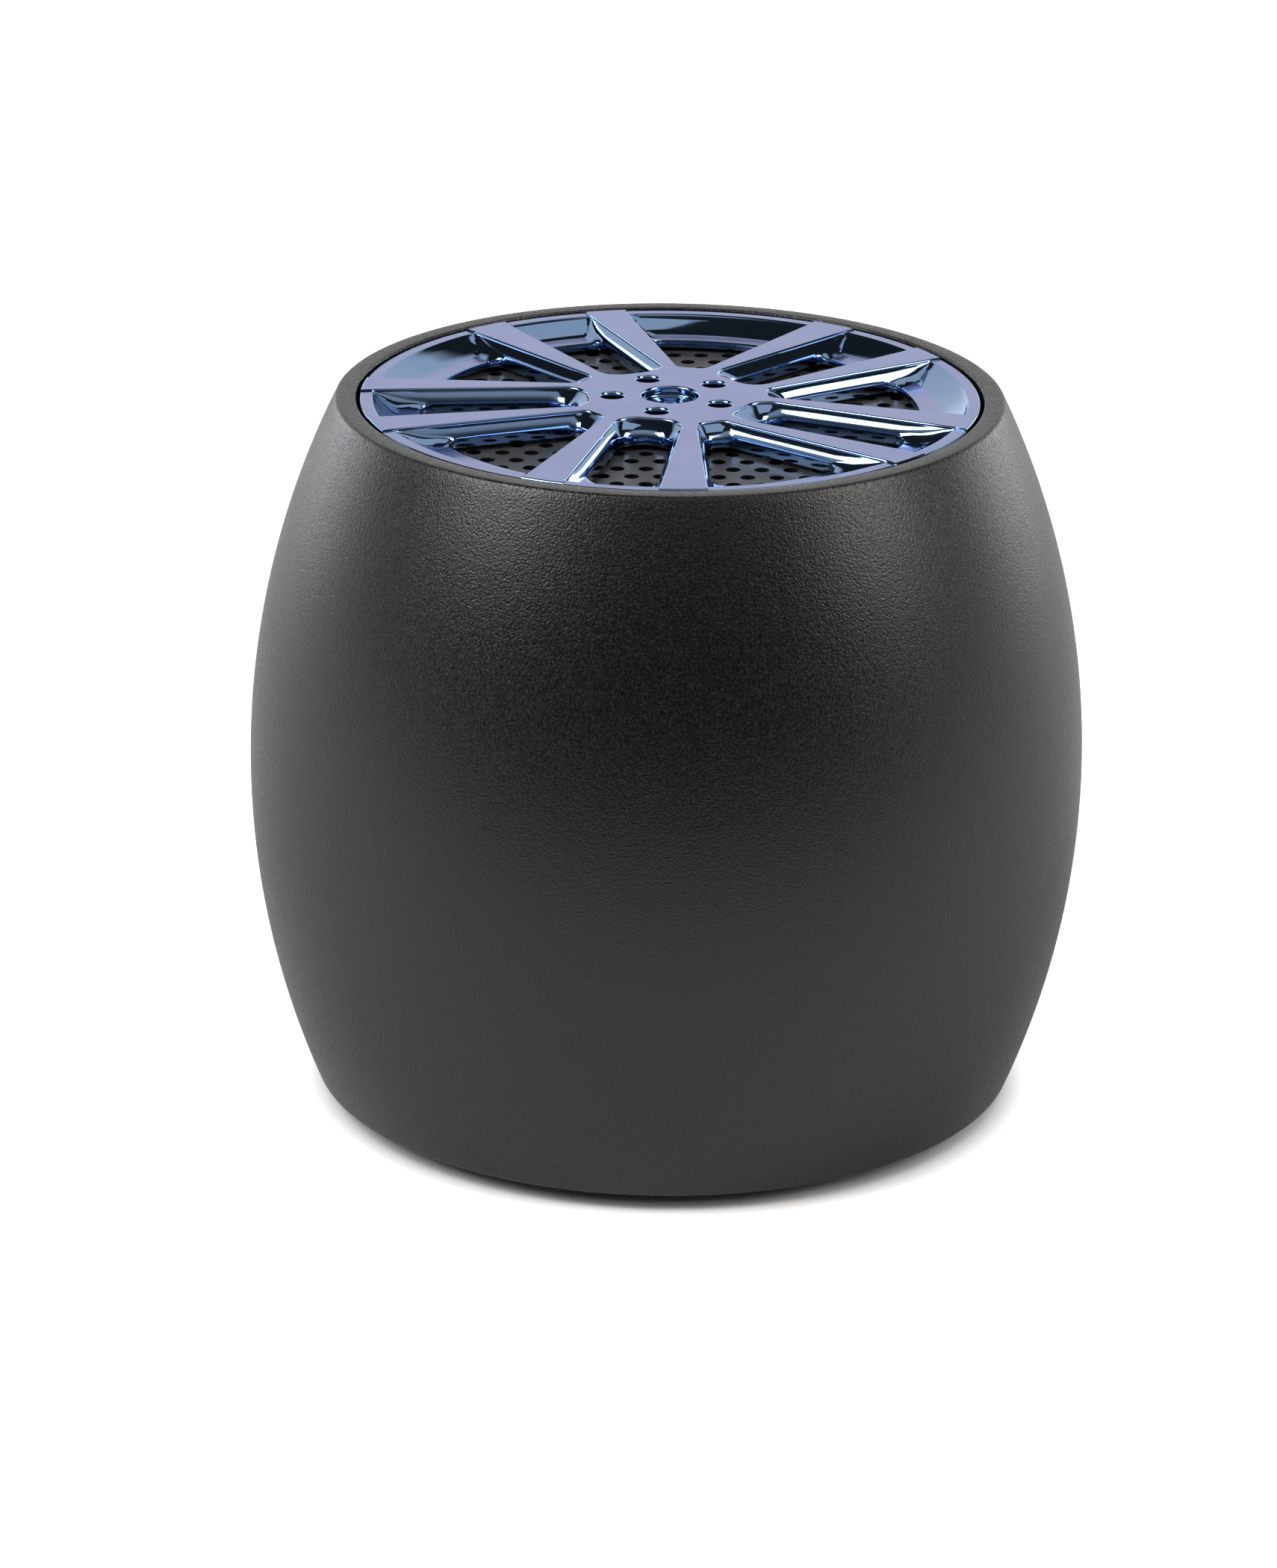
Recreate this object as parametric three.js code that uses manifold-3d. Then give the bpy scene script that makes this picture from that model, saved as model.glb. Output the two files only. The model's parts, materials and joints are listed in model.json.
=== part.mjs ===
// A small barrel-shaped wireless speaker with a car-wheel trim over its grille.
// Millimetres, +Z up. The origin is the centre of the foot's contact plane, and the front faces -Y.
import * as THREE from "three";
import { mergeVertices } from "three/addons/utils/BufferGeometryUtils.js";
import Module from "manifold-3d";

const wasm = await Module();
wasm.setup();

// ---------------------------------------------------------------- driving dimensions

const FIT = 0.1; // air left between two pieces that rest on each other
const CLEAR = 0.3; // air left round a piece that is dropped into a pocket
const THROUGH = 1; // how far a cutter runs past the face that it cuts

// Barrel
const LIP_Z = 1.2; // the barrel's lower lip stands this far off the floor
const BARREL_HEIGHT = 50.6;
const TOP_Z = LIP_Z + BARREL_HEIGHT;
const BELLY_R = 30; // widest radius
const BELLY_Z = LIP_Z + 23.3; // height of the widest radius
const SIDE_ARC_R = 61.5; // radius of the arc that the side follows
const WALL = 2;
const EDGE = 0.3; // small bevel on the barrel's two crisp edges
const BORE_R = 22.2; // the bore in the top that holds the wheel
const BASE_SEAT_R = 24.1; // the opening in the bottom that holds the base cover

// Wheel trim
const WHEEL_R = 21.95;
const WHEEL_THICK = 1.75;
const WHEEL_STEP = 0.1; // spoke faces stand this far above the rim lip
const SPOKE_PAIRS = 5;
const RIM_TOP_R = 21; // the windows' outer ends, at the face
const RIM_WALL_R = 19.2; // foot of the rim's sloping wall
const RIM_LEDGE_R = 17.7; // inner edge of the ledge below the wall
const WALL_STEP_DEPTH = 0.15; // the windows' sides drop straight for this depth
const LEDGE_DEPTH = 1.2;
const SIDE_DRAFT = 0.5; // how much narrower a window is at the ledge, on each side
const HUB_BORE_R = 2;
const HUB_STEP_R = 1.7;
const HUB_STEP_DEPTH = 0.7;
const LUG_CIRCLE_R = 4.1;
const LUG_HOLE_R = 0.83;
const LUG_ANGLE = 40.6; // degrees from +X to the first lug hole

// Each window is bounded by two straight sides, given at a near and a far radius, and a flat inner end.
const NARROW_WINDOW = {
  nearR: 7.5,
  farR: RIM_TOP_R,
  lowSide: [23, 34.4],
  highSide: [60, 52],
  endAngle: 41.5,
  endDistance: 5.85,
  cornerR: 1.65,
};
const WIDE_WINDOW = {
  nearR: 7.2,
  farR: RIM_TOP_R,
  lowSide: [69, 60.8],
  highSide: [86, 98.4],
  endAngle: 77.5,
  endDistance: 6.96,
  cornerR: 0.9,
};

// Grille
const GRILLE_R = 21.8;
const GRILLE_THICK = 0.55;
const GRILLE_TOP_Z = TOP_Z - WHEEL_THICK - CLEAR;
const GRILLE_SKIRT_R = 21.3;

// Loudspeaker driver
const SHELF_Z = 45.3; // top of the shelf in the shell that carries the driver
const SHELF_THICK = 1.6;
const SHELF_R = 18.6;
const GASKET_THICK = 0.6;
const FLANGE_R = 21;
const FLANGE_THICK = 0.8;
const FLANGE_Z = SHELF_Z + FIT + GASKET_THICK + FIT;
const FLANGE_TOP = FLANGE_Z + FLANGE_THICK;
const CONE_R = 14.6;
const NECK_R = 6.6;
const CONE_DEPTH = 4.2;
const CONE_THICK = 0.4;
const ROLL_R = 1.2; // half-round roll of the surround
const COIL_R = 6.4;
const COIL_WALL = 0.5;
const COIL_LENGTH = 5.6;
const WINDING_LENGTH = 3; // the wound part at the coil's foot
const POLE_R = 6.05;
const POLE_THICK = 2;
const MAGNET_R = 5.7;
const MAGNET_THICK = 3.6;
const CUP_INNER_R = 7.35;
const CUP_R = 10;
const CUP_TOP_Z = FLANGE_Z - 6.6;
const CUP_FLOOR = 1.6;
const SPIDER_Z = CUP_TOP_Z + 1.6;
const SPIDER_R = 13;
const BASKET_THICK = 0.8;
const BASKET_WINDOWS = 4;
const BASKET_WINDOW_WIDTH = 12;
const SKIN_THICK = 0.35; // the thin sheet of the surround and the dust cap
const SURROUND_LIP = 0.7; // flat glued lip outside the surround's roll
const CAP_RISE = 2.4;
const SPIDER_THICK = 0.3;
const SPIDER_WAVES = 3;
const SPIDER_WAVE_HEIGHT = 0.5;
const DRIVER_SCREWS = 4;
const DRIVER_SCREW_CIRCLE_R = 19.5;
const DRIVER_SCREW_ANGLE = 45;
const TERMINAL_ANGLE = 45; // the driver's tag faces this way
const TERMINAL_R = 17.3;
const TERMINAL_THICK = 0.8;
const TERMINAL_WIDTH = 8;
const TERMINAL_HEIGHT = 3;
const TERMINAL_Z = FLANGE_Z - 5.8;

// Base
const BASE_Z = LIP_Z + 0.4;
const BASE_THICK = 2.4;
const BASE_R = 23.8;
const FOOT_INNER_R = 18.2;
const FOOT_OUTER_R = 22.4;
const FOOT_GROOVE_DEPTH = 0.6;
const FOOT_TOP_Z = BASE_Z + FOOT_GROOVE_DEPTH - FIT;
const SCREW_CIRCLE_R = 20.3;
const BASE_SCREWS = 3;
const BASE_SCREW_ANGLE = 90;
const POST_R = 2.4;
const POST_TOP_Z = 12;
const SCREW_CORE_R = 0.85;
const SCREW_HEAD_R = 1.5;
const SCREW_HEAD_THICK = 0.8;
const SCREW_TIP_LENGTH = 0.6;
const SCREW_SLOT_WIDTH = 0.35;
const SCREW_SLOT_DEPTH = 0.45;
const SHORT_SCREW = 4; // length under the head, in the driver and the board
const LONG_SCREW = 6; // length under the head, in the base cover

// Circuit board
const BOARD_R = 17.4;
const BOARD_Z = 8;
const BOARD_THICK = 1;
const BOARD_SCREWS = 3;
const BOARD_SCREW_CIRCLE_R = 14.6;
const BOARD_SCREW_ANGLE = 30;
const BOSS_R = 2;
const BOARD_TOP = BOARD_Z + BOARD_THICK;
const SWITCH_HEIGHT = 2;
const SWITCH_WIDTH = 4.5;
const SWITCH_KEY_R = 1.2;
const SWITCH_KEY_SHOWS = 0.4; // how far the key stands out of the switch
const MODULE = { x: 9, y: 7, z: 1.6 };
const MODULE_Y = 3.5;
const CHIP = { x: 4, y: 4, z: 0.9 };
const CHIP_X = 1;
const CHIP_Y = -5;
const INDUCTOR_R = 2.4;
const INDUCTOR_HEIGHT = 2.2;
const INDUCTOR_X = -7;
const INDUCTOR_Y = -3;
const CONNECTOR_WIDTH = 5;
const CONNECTOR_DEPTH = 3.5;
const CONNECTOR_X = 5.5;
const CONNECTOR_Y = 12.6;
const CONNECTOR_HEIGHT = 3;
const CONNECTOR_TOP = BOARD_TOP + FIT + CONNECTOR_HEIGHT;

// Controls in the base
const BUTTON_X = -7;
const BUTTON_Y = -3;
const BUTTON_R = 3.2;
const BUTTON_FLANGE_R = 4;
const BUTTON_TRAVEL = 0.35;
const BUTTON_FACE_Z = LIP_Z - 0.1;
const BUTTON_FLANGE_Z = BASE_Z + BASE_THICK + FIT;
const BUTTON_FLANGE_THICK = 0.8;
const BUTTON_STEM_R = 1;
const USB_X = 6.5;
const USB_Y = -3;
const USB_WIDTH = 8.9;
const USB_DEPTH = 3.2;
const USB_WALL = 0.3;
const USB_ROOF = 1;
const USB_TONGUE_THICK = 0.7;
const LED_X = 0;
const LED_Y = -10;
const LED = { x: 1.6, y: 0.8, z: 1 };
const PIPE_R = 1;
const PIPE_FLANGE_R = 1.6;
const PIPE_FLANGE_THICK = 0.6;
const MIC_X = 0;
const MIC_Y = 8.5;
const MIC_R = 2;
const MIC_HEIGHT = 1.2;
const MIC_HOLE_R = 0.5;
const MIC_BOOT_R = 2.4;

// Battery
const CELL = { x: 30, y: 20, z: 6 };
const CELL_Z = 12.3;
const LEFT_PAD = { x: 3.4, y: 12, atX: -12.8, atY: -2.5 };
const RIGHT_PAD = { x: 3.6, y: 18, atX: 8.6, atY: 0 };

// Leads
const LEAD_R = 0.55;
const LEAD_SIDES = 8;
const LEAD_STEPS = 14;
const LEAD_ASIDE = 0.8; // each lead of a pair stands this far to its side of the connector's middle
const TAG_FAN = 7; // degrees between tags for each millimetre aside
const LEAD_RISE = 2.5; // a speaker lead rises straight for this far
const TAG_DROP = 3; // and comes up under its tag from this far below it
// The bends of a speaker lead beside the cell, from its connector: sideways, backwards and height.
const LOWER_BEND = { out: 2, back: 1.5, z: 20 };
const UPPER_BEND = { out: 4, back: 2, z: 28 };
// A battery lead starts at the cell's end, rounds its corner and runs along the connectors' line.
const CELL_END_Y = 7;
const CELL_CORNER = { out: 2, y: 8.6 };
const ALONG_START = { x: -13, back: 0.4, drop: 0.2 };
const ALONG_END = { short: 2.4, back: 0.2, drop: 0.4 };
const PLUG_RISE = 1.2;
const POSITIVE_LIFT = 1.2;
const NEGATIVE_LIFT = -0.6;

const FINE = 60; // facets round the large outer pieces
const MEDIUM = 24; // facets round the driver's pieces
const COARSE = 10; // facets round screws and small round pieces

// ---------------------------------------------------------------- materials

function material(color, roughness, metalness) {
  return new THREE.MeshStandardMaterial({ color, roughness, metalness });
}

const CHARCOAL = material(0x26262a, 0.6, 0);
const BLUE_CHROME = material(0x6d86c4, 0.12, 1);
const BLACK_STEEL = material(0x1c1c1e, 0.45, 0.6);
const ZINC_STEEL = material(0x9a9b9d, 0.35, 1);
const BLACK_RUBBER = material(0x161616, 0.85, 0);
const FOAM = material(0x2c2c2c, 0.95, 0);
const PAPER = material(0x202022, 0.9, 0);
const COPPER = material(0xb46a3c, 0.35, 1);
const SPIDER_CLOTH = material(0xb9962f, 0.9, 0);
const NICKEL = material(0xc4c6c8, 0.25, 1);
const BOARD_GREEN = material(0x14502c, 0.5, 0);
const BLACK_PLASTIC = material(0x18181a, 0.5, 0);
const WHITE_PLASTIC = material(0xe6e4dc, 0.45, 0);
const CLEAR_PLASTIC = material(0xdfe6ea, 0.15, 0);
const CELL_FOIL = material(0xb8bcc0, 0.35, 0.8);
const RED_LEAD = material(0xa3201c, 0.5, 0);
const BLACK_LEAD = material(0x151515, 0.5, 0);

// ---------------------------------------------------------------- geometry helpers

const speaker = new THREE.Group();

function add(name, geometry, finish) {
  const mesh = new THREE.Mesh(geometry, finish);
  mesh.name = name;
  speaker.add(mesh);
  return mesh;
}

function radians(degrees) {
  return THREE.MathUtils.degToRad(degrees);
}

function polar(radius, degrees) {
  const turn = radians(degrees);
  return new THREE.Vector2(radius * Math.cos(turn), radius * Math.sin(turn));
}

// A solid of revolution about Z. The outline is a list of [radius, z]. An outline that doesn't
// start and end on the axis is closed on itself.
function revolve(outline, facets) {
  const points = outline.map(([r, z]) => new THREE.Vector2(r, z));
  if (THREE.ShapeUtils.isClockWise(points)) points.reverse();
  if (points[0].x > 0 || points.at(-1).x > 0) points.push(points[0].clone());
  return new THREE.LatheGeometry(points, facets).rotateX(Math.PI / 2);
}

function disc(radius, z, height, facets) {
  return revolve([[0, z], [radius, z], [radius, z + height], [0, z + height]], facets);
}

function ring(innerR, outerR, z, height, facets) {
  return revolve(
    [[innerR, z], [outerR, z], [outerR, z + height], [innerR, z + height]],
    facets,
  );
}

function box(width, depth, height, x, y, z) {
  return new THREE.BoxGeometry(width, depth, height).translate(x, y, z + height / 2);
}

function solid(geometry) {
  const bare = geometry.clone();
  bare.deleteAttribute("normal");
  bare.deleteAttribute("uv");
  const merged = mergeVertices(bare);
  const vertProperties = new Float32Array(merged.attributes.position.array);
  const triVerts = new Uint32Array(merged.index.array);
  return new wasm.Manifold(new wasm.Mesh({ numProp: 3, vertProperties, triVerts }));
}

function geometryOf(manifold) {
  const mesh = manifold.getMesh();
  const geometry = new THREE.BufferGeometry();
  geometry.setAttribute("position", new THREE.BufferAttribute(mesh.vertProperties, 3));
  geometry.setIndex(new THREE.BufferAttribute(mesh.triVerts, 1));
  geometry.computeVertexNormals();
  return geometry;
}

// The base geometry with some geometries joined to it and others cut from it.
function carve(base, joined, cut) {
  let result = solid(base);
  for (const piece of joined) result = result.add(solid(piece));
  for (const piece of cut) result = result.subtract(solid(piece));
  return geometryOf(result);
}

// A solid through outlines that all have the same number of points, from the lowest up.
function loft(sections) {
  const count = sections[0].points.length;
  const positions = [];
  for (const { points, z } of sections) {
    for (const point of points) positions.push(point.x, point.y, z);
  }
  const index = [];
  for (let level = 0; level < sections.length - 1; level++) {
    for (let i = 0; i < count; i++) {
      const a = level * count + i;
      const b = level * count + ((i + 1) % count);
      index.push(a, b, a + count, b, b + count, a + count);
    }
  }
  const last = (sections.length - 1) * count;
  for (const [a, b, c] of THREE.ShapeUtils.triangulateShape(sections[0].points, [])) {
    index.push(a, c, b);
  }
  for (const [a, b, c] of THREE.ShapeUtils.triangulateShape(sections.at(-1).points, [])) {
    index.push(last + a, last + b, last + c);
  }
  const geometry = new THREE.BufferGeometry();
  geometry.setAttribute("position", new THREE.Float32BufferAttribute(positions, 3));
  geometry.setIndex(index);
  return geometry;
}

// ---------------------------------------------------------------- barrel shell

function barrelRadius(z) {
  const rise = z - BELLY_Z;
  return BELLY_R - SIDE_ARC_R + Math.sqrt(SIDE_ARC_R ** 2 - rise ** 2);
}

// Points up or down the side, set in from the outer face by a distance.
function sidePoints(fromZ, toZ, steps, inset) {
  const points = [];
  for (let step = 0; step <= steps; step++) {
    const z = fromZ + ((toZ - fromZ) * step) / steps;
    points.push([barrelRadius(z) - inset, z]);
  }
  return points;
}

function screwPost(angle) {
  const centre = polar(SCREW_CIRCLE_R, angle);
  const from = BASE_Z + BASE_THICK + FIT;
  const post = disc(POST_R, from, POST_TOP_Z - from, COARSE).translate(centre.x, centre.y, 0);
  const reach = barrelRadius(from) - WALL / 2 - SCREW_CIRCLE_R;
  const rib = box(reach, WALL, POST_TOP_Z - from, SCREW_CIRCLE_R + reach / 2, 0, from);
  rib.rotateZ(radians(angle));
  return [post, rib];
}

function screwHole(circleR, angle, fromZ, toZ) {
  const centre = polar(circleR, angle);
  return disc(SCREW_CORE_R + FIT, fromZ, toZ - fromZ, COARSE).translate(centre.x, centre.y, 0);
}

function makeBarrelShell() {
  const rimR = barrelRadius(TOP_Z);
  const lipR = barrelRadius(LIP_Z);
  const seatTop = BASE_Z + BASE_THICK + FIT;
  const outline = [
    [BASE_SEAT_R, LIP_Z],
    [lipR - EDGE, LIP_Z],
    ...sidePoints(LIP_Z + EDGE, TOP_Z - EDGE, 10, 0),
    [rimR - EDGE, TOP_Z],
    [BORE_R, TOP_Z],
    [BORE_R, SHELF_Z],
    [SHELF_R, SHELF_Z],
    [SHELF_R, SHELF_Z - SHELF_THICK],
    [barrelRadius(SHELF_Z - 4 * SHELF_THICK) - WALL, SHELF_Z - 4 * SHELF_THICK],
    ...sidePoints(SHELF_Z - 6 * SHELF_THICK, seatTop, 4, WALL),
    [BASE_SEAT_R, seatTop],
  ];
  const posts = [];
  const holes = [];
  for (let i = 0; i < BASE_SCREWS; i++) {
    const angle = BASE_SCREW_ANGLE + (360 / BASE_SCREWS) * i;
    posts.push(...screwPost(angle));
    holes.push(screwHole(SCREW_CIRCLE_R, angle, 0, POST_TOP_Z - WALL));
  }
  for (let i = 0; i < DRIVER_SCREWS; i++) {
    const angle = DRIVER_SCREW_ANGLE + (360 / DRIVER_SCREWS) * i;
    holes.push(screwHole(DRIVER_SCREW_CIRCLE_R, angle, SHELF_Z - 3 * SHELF_THICK, TOP_Z));
  }
  return carve(revolve(outline, FINE), posts, holes);
}

// ---------------------------------------------------------------- wheel trim

// The point where the line through a and b meets the line through c and d.
function crossing(a, b, c, d) {
  const along = b.clone().sub(a);
  const across = d.clone().sub(c);
  const gap = c.clone().sub(a);
  return a.clone().addScaledVector(along, gap.cross(across) / along.cross(across));
}

// A rounded corner at a point between two others, as a short arc.
function roundedCorner(before, corner, after, radius, steps) {
  const toBefore = before.clone().sub(corner).normalize();
  const toAfter = after.clone().sub(corner).normalize();
  const half = Math.acos(toBefore.dot(toAfter)) / 2;
  const middle = toBefore.clone().add(toAfter).normalize();
  const centre = corner.clone().addScaledVector(middle, radius / Math.sin(half));
  const start = corner.clone().addScaledVector(toBefore, radius / Math.tan(half)).sub(centre);
  const end = corner.clone().addScaledVector(toAfter, radius / Math.tan(half)).sub(centre);
  const sweep = Math.atan2(start.cross(end), start.dot(end));
  const points = [];
  for (let step = 0; step <= steps; step++) {
    points.push(start.clone().rotateAround(new THREE.Vector2(), (sweep * step) / steps).add(centre));
  }
  return points;
}

// One window between two spokes. The rim end follows rimR, and the other edges are set in by inset.
function windowOutline(shape, turn, rimR, inset) {
  const lowNear = polar(shape.nearR, shape.lowSide[0] + turn);
  const lowFar = polar(shape.farR, shape.lowSide[1] + turn);
  const highNear = polar(shape.nearR, shape.highSide[0] + turn);
  const highFar = polar(shape.farR, shape.highSide[1] + turn);
  const outward = polar(1, shape.endAngle + turn);
  const sideways = new THREE.Vector2(-outward.y, outward.x);
  for (const [near, far, sense] of [[lowNear, lowFar, 1], [highNear, highFar, -1]]) {
    const along = far.clone().sub(near).normalize();
    const shift = new THREE.Vector2(-along.y, along.x).multiplyScalar(inset * sense);
    near.add(shift);
    far.add(shift);
  }
  const endMiddle = outward.clone().multiplyScalar(shape.endDistance + inset);
  const endAside = endMiddle.clone().add(sideways);
  const lowCorner = crossing(lowNear, lowFar, endMiddle, endAside);
  const highCorner = crossing(highNear, highFar, endMiddle, endAside);
  const lowRim = onCircle(lowNear, lowFar, rimR);
  const highRim = onCircle(highNear, highFar, rimR);
  const rimPoints = [];
  const rimSteps = 6;
  for (let step = 0; step <= rimSteps; step++) {
    const angle = THREE.MathUtils.lerp(0, lowRim.angleTo(highRim), step / rimSteps);
    rimPoints.push(lowRim.clone().rotateAround(new THREE.Vector2(), angle));
  }
  return [
    ...rimPoints,
    ...roundedCorner(highRim, highCorner, lowCorner, shape.cornerR, 4),
    ...roundedCorner(highCorner, lowCorner, lowRim, shape.cornerR, 4),
  ];
}

// The point on a line, beyond the axis, that lies at a radius.
function onCircle(near, far, radius) {
  const along = far.clone().sub(near).normalize();
  const reach = near.dot(along);
  const closest = near.clone().addScaledVector(along, -reach);
  return closest.addScaledVector(along, Math.sqrt(radius ** 2 - closest.lengthSq()));
}

// The windows open at the face, drop straight, then narrow to the ledge and drop again.
function windowCutter(shape, turn) {
  const levels = [
    [TOP_Z - WHEEL_THICK - THROUGH, RIM_LEDGE_R, SIDE_DRAFT],
    [TOP_Z - LEDGE_DEPTH - FIT, RIM_LEDGE_R, SIDE_DRAFT],
    [TOP_Z - LEDGE_DEPTH, RIM_WALL_R, SIDE_DRAFT],
    [TOP_Z - LEDGE_DEPTH / 2, (RIM_TOP_R + RIM_WALL_R) / 2, SIDE_DRAFT / 2],
    [TOP_Z - WALL_STEP_DEPTH, RIM_TOP_R, 0],
    [TOP_Z + THROUGH, RIM_TOP_R, 0],
  ];
  return loft(levels.map(([z, rimR, inset]) => ({ z, points: windowOutline(shape, turn, rimR, inset) })));
}

function makeWheelTrim() {
  const bottom = TOP_Z - WHEEL_THICK;
  const blank = revolve(
    [
      [0, bottom],
      [WHEEL_R, bottom],
      [WHEEL_R, TOP_Z - WHEEL_STEP - EDGE / 2],
      [WHEEL_R - EDGE / 2, TOP_Z - WHEEL_STEP],
      [RIM_TOP_R + EDGE, TOP_Z],
      [0, TOP_Z],
    ],
    FINE,
  );
  const cutters = [
    disc(HUB_BORE_R, TOP_Z - HUB_STEP_DEPTH, HUB_STEP_DEPTH + THROUGH, COARSE * 2),
    disc(HUB_STEP_R, bottom - THROUGH, WHEEL_THICK + THROUGH, COARSE * 2),
  ];
  for (let pair = 0; pair < SPOKE_PAIRS; pair++) {
    const turn = (360 / SPOKE_PAIRS) * pair;
    cutters.push(windowCutter(NARROW_WINDOW, turn));
    cutters.push(windowCutter(WIDE_WINDOW, turn));
    const lug = polar(LUG_CIRCLE_R, LUG_ANGLE + turn);
    const drill = disc(LUG_HOLE_R, bottom - THROUGH, WHEEL_THICK + 2 * THROUGH, COARSE);
    cutters.push(drill.translate(lug.x, lug.y, 0));
  }
  return carve(blank, [], cutters);
}

// ---------------------------------------------------------------- grille

function makeGrille() {
  const skirtBottom = SHELF_Z + FIT;
  const face = GRILLE_TOP_Z - GRILLE_THICK;
  return revolve(
    [
      [0, face],
      [GRILLE_SKIRT_R, face],
      [GRILLE_SKIRT_R, skirtBottom],
      [GRILLE_R, skirtBottom],
      [GRILLE_R, GRILLE_TOP_Z - GRILLE_THICK / 2],
      [GRILLE_R - GRILLE_THICK / 2, GRILLE_TOP_Z],
      [0, GRILLE_TOP_Z],
    ],
    FINE,
  );
}

// ---------------------------------------------------------------- loudspeaker driver

function driverScrewHoles() {
  const holes = [];
  for (let i = 0; i < DRIVER_SCREWS; i++) {
    const angle = DRIVER_SCREW_ANGLE + (360 / DRIVER_SCREWS) * i;
    holes.push(screwHole(DRIVER_SCREW_CIRCLE_R, angle, SHELF_Z - THROUGH, FLANGE_TOP + THROUGH));
  }
  return holes;
}

function makeGasket() {
  const gasket = ring(SHELF_R, FLANGE_R, SHELF_Z + FIT, GASKET_THICK, MEDIUM);
  return carve(gasket, [], driverScrewHoles());
}

function makeBasket() {
  const sheet = BASKET_THICK;
  const floorZ = CUP_TOP_Z - sheet - FIT;
  const ledgeZ = SPIDER_Z - FIT;
  const pressing = revolve(
    [
      [CUP_R + FIT, floorZ],
      [SPIDER_R - sheet, floorZ],
      [SPIDER_R, ledgeZ - sheet],
      [SPIDER_R + 2 * sheet, ledgeZ - sheet],
      [SHELF_R - CLEAR - sheet / 2, FLANGE_Z - sheet],
      [SHELF_R - CLEAR, FLANGE_Z],
      [FLANGE_R, FLANGE_Z],
      [FLANGE_R, FLANGE_TOP],
      [CONE_R + 2 * ROLL_R, FLANGE_TOP],
      [SPIDER_R + sheet, ledgeZ],
      [SPIDER_R - 1.5 * sheet, ledgeZ],
      [SPIDER_R - 2 * sheet, floorZ + sheet],
      [CUP_R + FIT, floorZ + sheet],
    ],
    MEDIUM,
  );
  const cutters = driverScrewHoles();
  for (let i = 0; i < BASKET_WINDOWS; i++) {
    const height = FLANGE_Z - 2 * sheet - ledgeZ - sheet;
    const middleX = SPIDER_R + sheet + FLANGE_R / 2;
    const opening = box(FLANGE_R, BASKET_WINDOW_WIDTH, height, middleX, 0, ledgeZ + sheet);
    cutters.push(opening.rotateZ(radians((360 / BASKET_WINDOWS) * i)));
  }
  return carve(pressing, [], cutters);
}

// The surround is a half-round roll between a glued flange and the cone's edge.
function makeSurround() {
  const skin = SKIN_THICK;
  const base = FLANGE_TOP + FIT;
  const centreR = CONE_R + FIT + ROLL_R;
  const outer = [];
  const inner = [];
  const steps = 4;
  for (let step = 0; step <= steps; step++) {
    const turn = (Math.PI * step) / steps;
    outer.push([centreR + ROLL_R * Math.cos(turn), base + ROLL_R * Math.sin(turn)]);
    const innerR = ROLL_R - skin;
    inner.unshift([centreR + innerR * Math.cos(turn), base + innerR * Math.sin(turn)]);
  }
  outer[0][1] = base + skin;
  const rimR = centreR + ROLL_R + SURROUND_LIP;
  return revolve([[rimR, base], [rimR, base + skin], ...outer, ...inner], MEDIUM);
}

function makeCone() {
  const top = FLANGE_TOP + FIT;
  return revolve(
    [
      [NECK_R, top - CONE_DEPTH],
      [NECK_R + 2 * CONE_THICK, top - CONE_DEPTH],
      [(CONE_R + NECK_R) / 2 + CONE_THICK, top - CONE_DEPTH / 2 - 2 * CONE_THICK],
      [CONE_R, top - CONE_THICK],
      [CONE_R, top],
      [CONE_R - 2 * CONE_THICK, top],
      [(CONE_R + NECK_R) / 2 - CONE_THICK, top - CONE_DEPTH / 2],
      [NECK_R, top - CONE_DEPTH + 2 * CONE_THICK],
    ],
    MEDIUM,
  );
}

function makeDustCap() {
  const rimR = NECK_R - FIT;
  const rise = CAP_RISE;
  const skin = SKIN_THICK;
  const base = FLANGE_TOP + FIT - CONE_DEPTH + CONE_THICK;
  const outline = [];
  const steps = 5;
  for (let step = 0; step <= steps; step++) {
    const turn = (Math.PI / 2) * (step / steps);
    outline.push([rimR * Math.cos(turn), base + rise * Math.sin(turn)]);
  }
  outline[steps][0] = 0;
  for (let step = steps; step >= 0; step--) {
    const turn = (Math.PI / 2) * (step / steps);
    outline.push([(rimR - skin) * Math.cos(turn), base + (rise - skin) * Math.sin(turn)]);
  }
  outline[steps + 1][0] = 0;
  return revolve(outline, MEDIUM);
}

function makeVoiceCoil() {
  const top = FLANGE_TOP - CONE_DEPTH + CONE_THICK / 2;
  const former = COIL_WALL / 2;
  const windingTop = top - COIL_LENGTH + WINDING_LENGTH;
  return revolve(
    [
      [COIL_R, top - COIL_LENGTH],
      [COIL_R + COIL_WALL, top - COIL_LENGTH],
      [COIL_R + COIL_WALL, windingTop],
      [COIL_R + former, windingTop],
      [COIL_R + former, top - FIT],
      [COIL_R, top - FIT],
    ],
    MEDIUM,
  );
}

// A corrugated cloth disc that centres the coil.
function makeSpider() {
  const innerR = COIL_R + COIL_WALL / 2 + FIT;
  const steps = SPIDER_WAVES * 2;
  const upper = [];
  const lower = [];
  for (let step = 0; step <= steps; step++) {
    const r = innerR + ((SPIDER_R - innerR) * step) / steps;
    const wave = (2 * Math.PI * SPIDER_WAVES * step) / steps;
    const z = SPIDER_Z + (SPIDER_WAVE_HEIGHT * (1 - Math.cos(wave))) / 2;
    lower.push([r, z]);
    upper.unshift([r, z + SPIDER_THICK]);
  }
  return revolve([...lower, ...upper], MEDIUM);
}

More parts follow.
